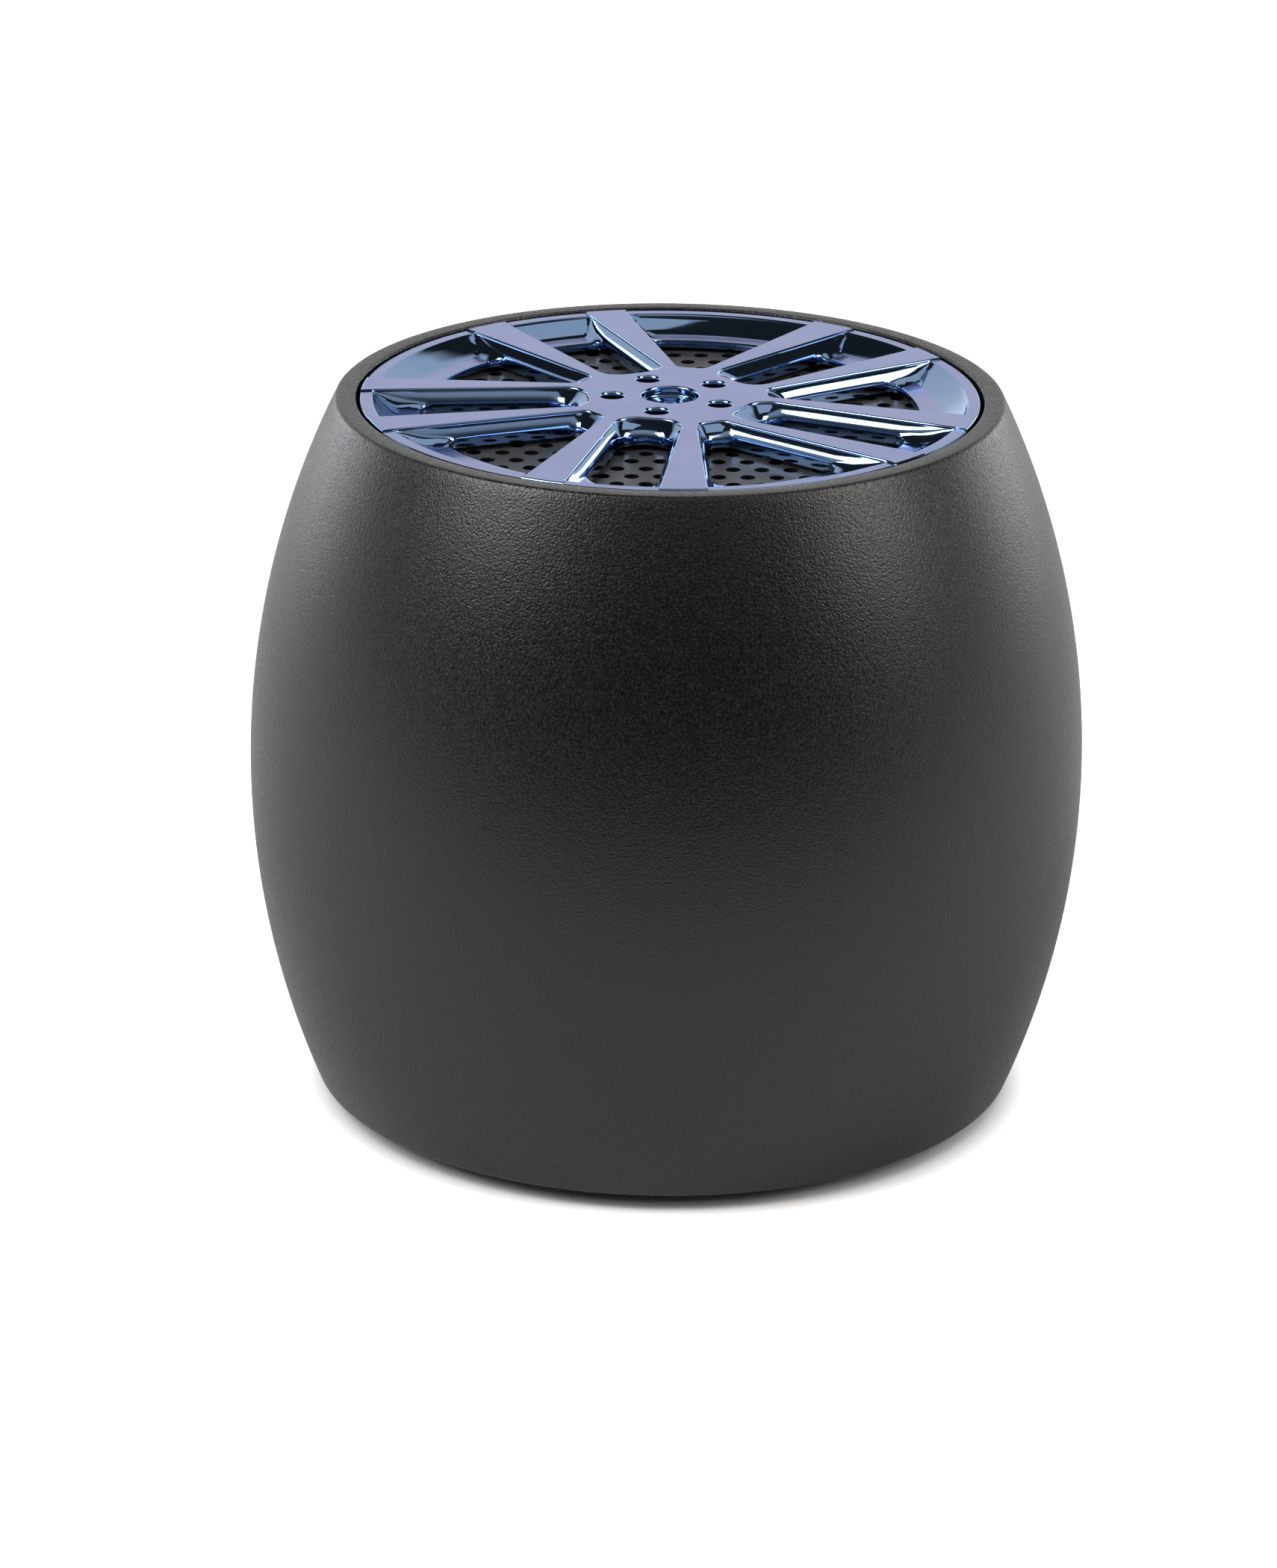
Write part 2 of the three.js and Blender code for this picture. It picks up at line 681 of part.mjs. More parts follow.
function makeYokeCup() {
  const floorZ = CUP_TOP_Z - POLE_THICK - MAGNET_THICK - 2 * FIT - CUP_FLOOR;
  return revolve(
    [
      [0, floorZ],
      [CUP_R - EDGE, floorZ],
      [CUP_R, floorZ + EDGE],
      [CUP_R, CUP_TOP_Z],
      [CUP_INNER_R, CUP_TOP_Z],
      [CUP_INNER_R, floorZ + CUP_FLOOR],
      [0, floorZ + CUP_FLOOR],
    ],
    MEDIUM,
  );
}

// The driver's terminal board is a small tag glued to the basket's wall.
function makeTerminalBoard() {
  const tag = box(TERMINAL_THICK, TERMINAL_WIDTH, TERMINAL_HEIGHT, TERMINAL_R, 0, TERMINAL_Z);
  return tag.rotateZ(radians(TERMINAL_ANGLE));
}

function panScrew(x, y, headUnderZ, length, up) {
  const sense = up ? 1 : -1;
  const outline = [
    [0, headUnderZ - sense * length],
    [SCREW_CORE_R * 0.5, headUnderZ - sense * length],
    [SCREW_CORE_R, headUnderZ - sense * (length - SCREW_TIP_LENGTH)],
    [SCREW_CORE_R, headUnderZ],
    [SCREW_HEAD_R, headUnderZ],
    [SCREW_HEAD_R, headUnderZ + sense * SCREW_HEAD_THICK * 0.5],
    [SCREW_HEAD_R * 0.7, headUnderZ + sense * SCREW_HEAD_THICK],
    [0, headUnderZ + sense * SCREW_HEAD_THICK],
  ];
  const blank = revolve(outline, COARSE);
  const faceZ = headUnderZ + sense * SCREW_HEAD_THICK;
  const from = up ? faceZ - SCREW_SLOT_DEPTH : faceZ - THROUGH;
  const slot = box(SCREW_HEAD_R, SCREW_SLOT_WIDTH, SCREW_SLOT_DEPTH + THROUGH, 0, 0, from);
  const cross = slot.clone().rotateZ(Math.PI / 2);
  return carve(blank, [], [slot, cross]).translate(x, y, 0);
}

function makeDriver() {
  add("driver_gasket", makeGasket(), FOAM);
  add("driver_basket", makeBasket(), BLACK_STEEL);
  add("driver_surround", makeSurround(), BLACK_RUBBER);
  add("driver_cone", makeCone(), PAPER);
  add("dust_cap", makeDustCap(), PAPER);
  add("voice_coil", makeVoiceCoil(), COPPER);
  add("spider", makeSpider(), SPIDER_CLOTH);
  const poleZ = CUP_TOP_Z - POLE_THICK;
  add("pole_plate", disc(POLE_R, poleZ, POLE_THICK, MEDIUM), ZINC_STEEL);
  const magnetZ = poleZ - FIT - MAGNET_THICK;
  add("driver_magnet", disc(MAGNET_R, magnetZ, MAGNET_THICK, MEDIUM), NICKEL);
  add("yoke_cup", makeYokeCup(), ZINC_STEEL);
  add("terminal_board", makeTerminalBoard(), BOARD_GREEN);
  for (let i = 0; i < DRIVER_SCREWS; i++) {
    const place = polar(DRIVER_SCREW_CIRCLE_R, DRIVER_SCREW_ANGLE + (360 / DRIVER_SCREWS) * i);
    const screw = panScrew(place.x, place.y, FLANGE_TOP + FIT, SHORT_SCREW, true);
    add(`driver_screw_${i + 1}`, screw, ZINC_STEEL);
  }
}

// ---------------------------------------------------------------- base cover, foot and button

function boardPost(angle) {
  const centre = polar(BOARD_SCREW_CIRCLE_R, angle);
  const from = BASE_Z + BASE_THICK / 2;
  return disc(BOSS_R, from, BOARD_Z - FIT - from, COARSE).translate(centre.x, centre.y, 0);
}

function makeBaseCover() {
  const underside = BASE_Z;
  const top = BASE_Z + BASE_THICK;
  const grooveTop = underside + FOOT_GROOVE_DEPTH;
  const plate = revolve(
    [
      [0, underside],
      [FOOT_INNER_R - FIT, underside],
      [FOOT_INNER_R - FIT, grooveTop],
      [FOOT_OUTER_R + FIT, grooveTop],
      [FOOT_OUTER_R + FIT, underside],
      [BASE_R, underside],
      [BASE_R, top],
      [0, top],
    ],
    FINE,
  );
  const posts = [];
  const cutters = [];
  for (let i = 0; i < BOARD_SCREWS; i++) {
    const angle = BOARD_SCREW_ANGLE + (360 / BOARD_SCREWS) * i;
    posts.push(boardPost(angle));
    cutters.push(screwHole(BOARD_SCREW_CIRCLE_R, angle, BASE_Z + BASE_THICK, BOARD_Z + THROUGH));
  }
  for (let i = 0; i < BASE_SCREWS; i++) {
    const angle = BASE_SCREW_ANGLE + (360 / BASE_SCREWS) * i;
    const place = polar(SCREW_CIRCLE_R, angle);
    const headRoom = SCREW_HEAD_THICK + 2 * FIT;
    const sink = disc(SCREW_HEAD_R + FIT, grooveTop - THROUGH, THROUGH + headRoom, COARSE);
    cutters.push(sink.translate(place.x, place.y, 0));
    cutters.push(screwHole(SCREW_CIRCLE_R, angle, underside, top + THROUGH));
  }
  const buttonHole = disc(BUTTON_R + CLEAR / 2, underside - THROUGH, BASE_THICK + 2 * THROUGH, MEDIUM);
  cutters.push(buttonHole.translate(BUTTON_X, BUTTON_Y, 0));
  cutters.push(usbOutline(USB_WALL + CLEAR / 2, underside - THROUGH, BASE_THICK + 2 * THROUGH));
  const pipeHole = disc(PIPE_R + CLEAR / 2, underside - THROUGH, BASE_THICK + 2 * THROUGH, COARSE);
  cutters.push(pipeHole.translate(LED_X, LED_Y, 0));
  const micHole = disc(MIC_HOLE_R, underside - THROUGH, BASE_THICK + 2 * THROUGH, COARSE);
  cutters.push(micHole.translate(MIC_X, MIC_Y, 0));
  return carve(plate, posts, cutters);
}

function makeFootRing() {
  return revolve(
    [
      [FOOT_INNER_R + EDGE, 0],
      [FOOT_OUTER_R - EDGE, 0],
      [FOOT_OUTER_R, EDGE],
      [FOOT_OUTER_R, FOOT_TOP_Z],
      [FOOT_INNER_R, FOOT_TOP_Z],
      [FOOT_INNER_R, EDGE],
    ],
    FINE,
  );
}

function makePowerButton() {
  const flangeTop = BUTTON_FLANGE_Z + BUTTON_FLANGE_THICK;
  const stemTop = BOARD_Z - SWITCH_HEIGHT - FIT;
  const cap = revolve(
    [
      [0, BUTTON_FACE_Z + EDGE / 2],
      [BUTTON_R - 2 * EDGE, BUTTON_FACE_Z],
      [BUTTON_R, BUTTON_FACE_Z + EDGE],
      [BUTTON_R, BUTTON_FLANGE_Z],
      [BUTTON_FLANGE_R, BUTTON_FLANGE_Z],
      [BUTTON_FLANGE_R, flangeTop],
      [BUTTON_STEM_R, flangeTop],
      [BUTTON_STEM_R, stemTop - BUTTON_TRAVEL],
      [0, stemTop - BUTTON_TRAVEL],
    ],
    COARSE * 2,
  );
  return cap.translate(BUTTON_X, BUTTON_Y, 0);
}

function makeBase() {
  add("base_cover", makeBaseCover(), BLACK_PLASTIC);
  add("foot_ring", makeFootRing(), BLACK_RUBBER);
  add("power_button", makePowerButton(), BLACK_PLASTIC);
  for (let i = 0; i < BASE_SCREWS; i++) {
    const place = polar(SCREW_CIRCLE_R, BASE_SCREW_ANGLE + (360 / BASE_SCREWS) * i);
    const headUnder = BASE_Z + FOOT_GROOVE_DEPTH + SCREW_HEAD_THICK + FIT;
    add(`base_screw_${i + 1}`, panScrew(place.x, place.y, headUnder, LONG_SCREW, false), ZINC_STEEL);
  }
}

// ---------------------------------------------------------------- circuit board and what is on it

// A rounded slot the shape of the charging socket's mouth, grown by a margin.
function usbOutline(margin, z, height) {
  const radius = USB_DEPTH / 2 + margin;
  const halfRun = (USB_WIDTH - USB_DEPTH) / 2;
  const shape = new THREE.Shape();
  shape.absarc(halfRun, 0, radius, -Math.PI / 2, Math.PI / 2, false);
  shape.absarc(-halfRun, 0, radius, Math.PI / 2, (3 * Math.PI) / 2, false);
  const slot = new THREE.ExtrudeGeometry(shape, { depth: height, bevelEnabled: false, curveSegments: 8 });
  return slot.translate(USB_X, USB_Y, z);
}

// The socket's metal can opens downwards and holds the contact tongue.
function makeUsbSocket() {
  const mouthZ = BASE_Z + EDGE;
  const height = BOARD_Z - FIT - mouthZ;
  const can = usbOutline(USB_WALL - CLEAR / 2, mouthZ, height);
  const hollow = usbOutline(-CLEAR / 2, mouthZ - THROUGH, height - USB_ROOF + THROUGH);
  const tongueWidth = USB_WIDTH - USB_DEPTH;
  const tongue = box(tongueWidth, USB_TONGUE_THICK, height - USB_ROOF, USB_X, USB_Y, mouthZ + USB_ROOF);
  const hollowed = solid(can).subtract(solid(hollow));
  return geometryOf(hollowed.add(solid(tongue)));
}

function makeCircuitBoard() {
  const cutters = [];
  for (let i = 0; i < BOARD_SCREWS; i++) {
    const angle = BOARD_SCREW_ANGLE + (360 / BOARD_SCREWS) * i;
    cutters.push(screwHole(BOARD_SCREW_CIRCLE_R, angle, BOARD_Z - THROUGH, BOARD_TOP + THROUGH));
  }
  return carve(disc(BOARD_R, BOARD_Z, BOARD_THICK, MEDIUM), [], cutters);
}

function makeTactSwitch() {
  const keyZ = BOARD_Z - SWITCH_HEIGHT;
  const bodyZ = keyZ + SWITCH_KEY_SHOWS;
  const body = box(SWITCH_WIDTH, SWITCH_WIDTH, BOARD_Z - FIT - bodyZ, BUTTON_X, BUTTON_Y, bodyZ);
  const key = disc(SWITCH_KEY_R, keyZ, SWITCH_KEY_SHOWS + FIT, COARSE);
  return carve(body, [key.translate(BUTTON_X, BUTTON_Y, 0)], []);
}

function makeLightPipe() {
  const top = BOARD_Z - FIT - LED.z - CLEAR;
  const flange = BASE_Z + BASE_THICK + FIT;
  const pipe = revolve(
    [
      [0, BASE_Z],
      [PIPE_R, BASE_Z],
      [PIPE_R, flange],
      [PIPE_FLANGE_R, flange],
      [PIPE_FLANGE_R, flange + PIPE_FLANGE_THICK],
      [PIPE_R, flange + PIPE_FLANGE_THICK],
      [PIPE_R, top],
      [0, top],
    ],
    COARSE,
  );
  return pipe.translate(LED_X, LED_Y, 0);
}

function makeMicrophoneBoot() {
  const bottom = BASE_Z + BASE_THICK + FIT;
  const boot = ring(MIC_HOLE_R, MIC_BOOT_R, bottom, BOARD_Z - MIC_HEIGHT - FIT - bottom, COARSE);
  return boot.translate(MIC_X, MIC_Y, 0);
}

function makeBoard() {
  add("circuit_board", makeCircuitBoard(), BOARD_GREEN);
  for (let i = 0; i < BOARD_SCREWS; i++) {
    const place = polar(BOARD_SCREW_CIRCLE_R, BOARD_SCREW_ANGLE + (360 / BOARD_SCREWS) * i);
    add(`board_screw_${i + 1}`, panScrew(place.x, place.y, BOARD_TOP + FIT, SHORT_SCREW, true), ZINC_STEEL);
  }
  add("usb_socket", makeUsbSocket(), NICKEL);
  add("tact_switch", makeTactSwitch(), BLACK_PLASTIC);
  add("status_led", box(LED.x, LED.y, LED.z, LED_X, LED_Y, BOARD_Z - FIT - LED.z), WHITE_PLASTIC);
  add("light_pipe", makeLightPipe(), CLEAR_PLASTIC);
  const microphone = disc(MIC_R, BOARD_Z - MIC_HEIGHT, MIC_HEIGHT - FIT, COARSE);
  add("microphone", microphone.translate(MIC_X, MIC_Y, 0), NICKEL);
  add("microphone_boot", makeMicrophoneBoot(), BLACK_RUBBER);
  const seat = BOARD_TOP + FIT;
  add("bluetooth_module", box(MODULE.x, MODULE.y, MODULE.z, 0, MODULE_Y, seat), NICKEL);
  add("amplifier_chip", box(CHIP.x, CHIP.y, CHIP.z, CHIP_X, CHIP_Y, seat), BLACK_PLASTIC);
  const inductor = disc(INDUCTOR_R, seat, INDUCTOR_HEIGHT, COARSE);
  add("power_inductor", inductor.translate(INDUCTOR_X, INDUCTOR_Y, 0), BLACK_STEEL);
  const connector = box(CONNECTOR_WIDTH, CONNECTOR_DEPTH, CONNECTOR_HEIGHT, 0, CONNECTOR_Y, seat);
  add("speaker_connector", connector.clone().translate(CONNECTOR_X, 0, 0), WHITE_PLASTIC);
  add("battery_connector", connector.translate(-CONNECTOR_X, 0, 0), WHITE_PLASTIC);
}

// ---------------------------------------------------------------- battery

// The cell stands on two pads that keep it above the parts on the board.
function makeBattery() {
  const cell = new THREE.Shape();
  const round = CELL.z / 2 - FIT;
  cell.moveTo(-CELL.y / 2 + round, 0);
  cell.lineTo(CELL.y / 2 - round, 0);
  cell.absarc(CELL.y / 2 - round, CELL.z / 2, CELL.z / 2, -Math.PI / 2, Math.PI / 2, false);
  cell.lineTo(-CELL.y / 2 + round, CELL.z);
  cell.absarc(-CELL.y / 2 + round, CELL.z / 2, CELL.z / 2, Math.PI / 2, (3 * Math.PI) / 2, false);
  const pouch = new THREE.ExtrudeGeometry(cell, { depth: CELL.x, bevelEnabled: false, curveSegments: 8 });
  pouch.rotateX(Math.PI / 2);
  pouch.rotateZ(Math.PI / 2);
  pouch.translate(-CELL.x / 2, 0, CELL_Z);
  add("battery_cell", pouch, CELL_FOIL);
  const padHeight = CELL_Z - FIT - BOARD_TOP - FIT;
  const pad = ({ x, y, atX, atY }) => box(x, y, padHeight, atX, atY, BOARD_TOP + FIT);
  add("battery_pad_left", pad(LEFT_PAD), FOAM);
  add("battery_pad_right", pad(RIGHT_PAD), FOAM);
}

// ---------------------------------------------------------------- leads

function lead(points) {
  const path = new THREE.CatmullRomCurve3(points.map(([x, y, z]) => new THREE.Vector3(x, y, z)));
  const section = new THREE.Shape();
  for (let side = 0; side < LEAD_SIDES; side++) {
    const turn = (2 * Math.PI * side) / LEAD_SIDES;
    const x = LEAD_R * Math.cos(turn);
    const y = LEAD_R * Math.sin(turn);
    if (side === 0) section.moveTo(x, y);
    else section.lineTo(x, y);
  }
  return new THREE.ExtrudeGeometry(section, { steps: LEAD_STEPS, extrudePath: path });
}

// A speaker lead climbs beside the cell from its connector to a tag on the terminal board.
function speakerLead(aside) {
  const startX = CONNECTOR_X + aside;
  const tag = polar(TERMINAL_R + TERMINAL_THICK + LEAD_R, TERMINAL_ANGLE - aside * TAG_FAN);
  return lead([
    [startX, CONNECTOR_Y, CONNECTOR_TOP + CLEAR],
    [startX, CONNECTOR_Y, CONNECTOR_TOP + LEAD_RISE],
    [startX + LOWER_BEND.out, CONNECTOR_Y + LOWER_BEND.back, LOWER_BEND.z],
    [startX + UPPER_BEND.out, CONNECTOR_Y + UPPER_BEND.back - aside, UPPER_BEND.z],
    [tag.x, tag.y, TERMINAL_Z - TAG_DROP],
    [tag.x, tag.y, TERMINAL_Z + TERMINAL_HEIGHT / 2],
  ]);
}

// A battery lead leaves the cell's end, rounds its corner and turns down to the connector.
function batteryLead(lift, aside) {
  const endX = -CONNECTOR_X + aside;
  const startZ = CELL_Z + CELL.z / 2 + lift;
  return lead([
    [-CELL.x / 2 - CLEAR - FIT, CELL_END_Y, startZ],
    [-CELL.x / 2 - CELL_CORNER.out, CELL_CORNER.y, startZ],
    [ALONG_START.x, CONNECTOR_Y + ALONG_START.back, startZ - ALONG_START.drop],
    [endX - ALONG_END.short, CONNECTOR_Y + ALONG_END.back, startZ - ALONG_END.drop],
    [endX, CONNECTOR_Y, CONNECTOR_TOP + PLUG_RISE],
    [endX, CONNECTOR_Y, CONNECTOR_TOP + CLEAR],
  ]);
}

function makeLeads() {
  add("speaker_wire_positive", speakerLead(LEAD_ASIDE), RED_LEAD);
  add("speaker_wire_negative", speakerLead(-LEAD_ASIDE), BLACK_LEAD);
  add("battery_wire_positive", batteryLead(POSITIVE_LIFT, LEAD_ASIDE), RED_LEAD);
  add("battery_wire_negative", batteryLead(NEGATIVE_LIFT, -LEAD_ASIDE), BLACK_LEAD);
}

// ---------------------------------------------------------------- assembly

add("barrel_shell", makeBarrelShell(), CHARCOAL);
add("wheel_trim", makeWheelTrim(), BLUE_CHROME);
add("grille", makeGrille(), BLACK_STEEL);
makeDriver();
makeBase();
makeBoard();
makeBattery();
makeLeads();

export default speaker;
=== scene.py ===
# %% [markdown]
# # A small barrel speaker with a wheel-shaped trim
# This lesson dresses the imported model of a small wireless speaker: a charcoal barrel with a fine
# moulded grain, a blue-plated wheel let into its top, a perforated steel grille under the wheel,
# and a driver, a circuit board and a battery inside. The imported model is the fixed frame, and
# every visible piece made here stands where the frame says.

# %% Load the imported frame
import json
import math

import bmesh
import bpy
from mathutils import Matrix, Vector
from mathutils.geometry import delaunay_2d_cdt

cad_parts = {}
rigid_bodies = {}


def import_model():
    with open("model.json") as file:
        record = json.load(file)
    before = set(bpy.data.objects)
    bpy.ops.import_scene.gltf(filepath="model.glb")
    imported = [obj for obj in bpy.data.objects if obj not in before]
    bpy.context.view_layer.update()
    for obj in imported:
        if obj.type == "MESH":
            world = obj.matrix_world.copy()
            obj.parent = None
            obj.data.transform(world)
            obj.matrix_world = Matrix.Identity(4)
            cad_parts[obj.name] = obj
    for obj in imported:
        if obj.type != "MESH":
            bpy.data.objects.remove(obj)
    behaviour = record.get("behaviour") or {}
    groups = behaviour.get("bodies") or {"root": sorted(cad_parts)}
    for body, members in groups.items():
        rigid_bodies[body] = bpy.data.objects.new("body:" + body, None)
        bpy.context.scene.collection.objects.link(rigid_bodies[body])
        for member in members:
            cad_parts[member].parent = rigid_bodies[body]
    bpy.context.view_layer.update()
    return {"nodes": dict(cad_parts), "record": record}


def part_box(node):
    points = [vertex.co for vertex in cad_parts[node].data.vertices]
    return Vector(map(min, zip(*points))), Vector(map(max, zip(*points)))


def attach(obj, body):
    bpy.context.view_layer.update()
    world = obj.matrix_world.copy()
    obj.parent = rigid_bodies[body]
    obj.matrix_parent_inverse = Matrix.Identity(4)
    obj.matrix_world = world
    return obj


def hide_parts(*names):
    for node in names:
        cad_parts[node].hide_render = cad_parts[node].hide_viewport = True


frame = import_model()

# %% [markdown]
# ## Units and the few sizes that drive the rest
# Blender works in metres here, as the frame does, but a speaker this small is easier to think of
# in millimetres. `MM` turns one into the other. Heights come from the frame's own boxes, so a
# change in the frame moves the pieces too.

# %% Driving sizes
MM = 0.001
BARREL = "barrel_shell"
HOUSING = "housing"                # the body that all but the cone and the button ride on
LIP_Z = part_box(BARREL)[0][2]       # the barrel's lower edge; the foot stands out below it
TOP_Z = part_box(BARREL)[1][2]
BELLY_R = 30 * MM                  # the barrel at its widest, and how high that is
BELLY_Z = LIP_Z + 23.3 * MM
SIDE_ARC_R = 61.5 * MM             # the long arc of its side
BORE_R = 22.2 * MM                 # the recess that the wheel sits in
print("the barrel stands from", round(LIP_Z / MM, 2), "to", round(TOP_Z / MM, 2), "mm")

# %% [markdown]
# ## Helpers for turned pieces
# Most pieces of a speaker are turned or moulded round one axis. Real ones never have a perfectly
# sharp edge, and a tiny round on each edge is what catches the light, so the outline helper rounds
# every corner before the outline is spun. A Spin or Screw modifier could do the turning, but
# building the rings directly keeps the mesh closed at the axis and gives exact control of facets.

# %% Outline and revolve helpers
ON_AXIS = 1e-9           # a radius in metres below which a point counts as on the axis
NEARLY_STRAIGHT = 86     # half the angle at a corner, in degrees, past which it stays as it is
CORNER_SHARE = 0.45      # a round takes at most this share of the shorter edge beside it


def rounded(outline, radius, steps=4):
    """The closed outline with each corner turned into a short arc. A third number on a point is
    that corner's own radius."""
    points = []
    count = len(outline)
    for i, corner in enumerate(outline):
        here = Vector(corner[:2])
        before = Vector(outline[i - 1][:2])
        after = Vector(outline[(i + 1) % count][:2])
        size = corner[2] if len(corner) > 2 else radius
        to_before = before - here
        to_after = after - here
        reach = min(to_before.length, to_after.length) * CORNER_SHARE
        to_before.normalize()
        to_after.normalize()
        half = math.acos(max(-1, min(1, to_before.dot(to_after)))) / 2
        if here.x < ON_AXIS or size <= 0 or half > math.radians(NEARLY_STRAIGHT):
            points.append(here)
            continue
        size = min(size, reach * math.tan(half))
        centre = here + (to_before + to_after).normalized() * (size / math.sin(half))
        start = here + to_before * (size / math.tan(half)) - centre
        end = here + to_after * (size / math.tan(half)) - centre
        sweep = math.atan2(start.x * end.y - start.y * end.x, start.dot(end))
        for step in range(steps + 1):
            turn = Matrix.Rotation(sweep * step / steps, 2)
            points.append(centre + turn @ start)
    return points


def finish_mesh(obj, sharp_degrees=32):
    """Smooth shading that stays crisp where two faces meet at more than the given angle."""
    obj.data.shade_smooth()
    obj.data.set_sharp_from_angle(angle=math.radians(sharp_degrees))
    return obj


def new_object(name, mesh):
    obj = bpy.data.objects.new(name, mesh)
    bpy.context.scene.collection.objects.link(obj)
    return obj


def revolve(name, outline, facets, slots=None):
    """A closed solid of revolution about Z. slots gives a material index for a radius and height."""
    bm = bmesh.new()
    rings = []
    for point in outline:
        if point.x < ON_AXIS:
            rings.append([bm.verts.new((0, 0, point.y))])
            continue
        ring = []
        for i in range(facets):
            turn = math.tau * i / facets
            ring.append(bm.verts.new((point.x * math.cos(turn), point.x * math.sin(turn), point.y)))
        rings.append(ring)
    closed = len(rings[0]) > 1
    last = len(rings) if closed else len(rings) - 1
    for k in range(last):
        low, high = rings[k], rings[(k + 1) % len(rings)]
        middle = (outline[k] + outline[(k + 1) % len(outline)]) / 2
        for i in range(facets):
            j = (i + 1) % facets
            loop = [low[i % len(low)], low[j % len(low)], high[j % len(high)], high[i % len(high)]]
            corners = list(dict.fromkeys(loop))
            if len(corners) < 3:
                continue
            face = bm.faces.new(corners)
            if slots:
                face.material_index = slots(middle.x, middle.y)
    bmesh.ops.recalc_face_normals(bm, faces=bm.faces)
    mesh = bpy.data.meshes.new(name)
    bm.to_mesh(mesh)
    bm.free()
    return finish_mesh(new_object(name, mesh))


# %% [markdown]
# ## Helpers for procedural materials
# Every finish here is built from nodes. A finish starts from the Principled shader, and the values
# that are the same all over are set on its own sockets. What varies - grain, wear, mottling - is a
# noise read on Object coordinates, so it sits on the piece in real millimetres and travels with it.

# %% Material helpers
class Finish:
    """A Principled material with short calls for the patterns that these finishes share."""

    def __init__(self, name, colour, roughness, metallic=0.0, **sockets):
        self.material = bpy.data.materials.new(name)
        self.material.use_nodes = True
        self.tree = self.material.node_tree
        self.shader = self.tree.nodes["Principled BSDF"]
        self.colour = colour
        self.roughness = roughness
        self.shader.inputs["Base Color"].default_value = (*colour, 1)
        self.shader.inputs["Roughness"].default_value = roughness
        self.shader.inputs["Metallic"].default_value = metallic
        for socket, value in sockets.items():
            self.shader.inputs[socket.replace("_", " ")].default_value = value
        self.place = self.tree.nodes.new("ShaderNodeTexCoord").outputs["Object"]

    def link(self, output, socket):
        self.tree.links.new(output, socket)

    def noise(self, size, detail=2.0, roughness=0.5, stretch=(1, 1, 1)):
        """A noise whose features are about size metres across."""
        mapping = self.tree.nodes.new("ShaderNodeMapping")
        mapping.inputs["Scale"].default_value = stretch
        self.link(self.place, mapping.inputs["Vector"])
        node = self.tree.nodes.new("ShaderNodeTexNoise")
        node.inputs["Scale"].default_value = 1 / size
        node.inputs["Detail"].default_value = detail
        node.inputs["Roughness"].default_value = roughness
        self.link(mapping.outputs["Vector"], node.inputs["Vector"])
        return node.outputs["Fac"]

    def cells(self, size):
        """A cell pattern whose cells are about size metres across."""
        node = self.tree.nodes.new("ShaderNodeTexVoronoi")
        node.inputs["Scale"].default_value = 1 / size
        self.link(self.place, node.inputs["Vector"])
        return node.outputs["Distance"]

    def ramp(self, value, low, high, from_low=0.0, from_high=1.0):
        """value from from_low..from_high, turned into low..high."""
        node = self.tree.nodes.new("ShaderNodeMapRange")
        node.inputs["From Min"].default_value = from_low
        node.inputs["From Max"].default_value = from_high
        node.inputs["To Min"].default_value = low
        node.inputs["To Max"].default_value = high
        self.link(value, node.inputs["Value"])
        return node.outputs["Result"]

    def math(self, operation, a, b):
        node = self.tree.nodes.new("ShaderNodeMath")
        node.operation = operation
        for socket, value in zip(node.inputs, (a, b)):
            if isinstance(value, (int, float)):
                socket.default_value = value
            else:
                self.link(value, socket)
        return node.outputs["Value"]

    def tint(self, value, other, from_low=0.35, from_high=0.65):
        """The base colour drifts towards other where value is high."""
        mix = self.tree.nodes.new("ShaderNodeMix")
        mix.data_type = "RGBA"
        mix.inputs["A"].default_value = (*self.colour, 1)
        mix.inputs["B"].default_value = (*other, 1)
        self.link(self.ramp(value, 0, 1, from_low, from_high), mix.inputs["Factor"])
        self.link(mix.outputs["Result"], self.shader.inputs["Base Color"])
        return self

    def rub(self, value, spread, from_low=0.3, from_high=0.7):
        """The roughness varies by spread either way round its own value."""
        low, high = self.roughness - spread, self.roughness + spread
        self.link(self.ramp(value, low, high, from_low, from_high), self.shader.inputs["Roughness"])
        return self

    def bump(self, value, depth, strength=1.0):
        """value raises the surface by up to depth metres."""
        node = self.tree.nodes.new("ShaderNodeBump")
        node.inputs["Strength"].default_value = strength
        node.inputs["Distance"].default_value = depth
        self.link(value, node.inputs["Height"])
        before = self.shader.inputs["Normal"].links
        if before:
            self.link(before[0].from_socket, node.inputs["Normal"])
        self.link(node.outputs["Normal"], self.shader.inputs["Normal"])
        return self


def dress(obj, *finishes):
    obj.data.materials.clear()
    for finish in finishes:
        obj.data.materials.append(finish.material)
    return obj


# %% [markdown]
# ## The finishes of the outside
# The barrel is black plastic from a spark-eroded mould: a fine grain about a seventh of a
# millimetre across, matte but glinting where a light falls on it. The grain's high spots are a
# little lighter and its gloss varies with it, so it shows in the shade too. The top rim is smooth.
# The wheel is plated plastic with a blue tint. Its flat faces carry a faint satin haze, and its
# flanks are mirror bright. The grille is steel sheet with a thin black coat, and the walls of its
# holes carry a painted shade: a near-black finish with little gloss.

# %% Outside finishes
def shell_grain():
    finish = Finish("charcoal_spark_grain", (0.003, 0.003, 0.0032), 0.34, Specular_IOR_Level=0.7)
    grain = finish.noise(0.15 * MM, detail=1.5, roughness=0.4)
    finish.bump(grain, 0.038 * MM, 1.0)
    finish.rub(grain, 0.1)
    finish.tint(grain, (0.013, 0.013, 0.0135), 0.5, 0.7)
    return finish


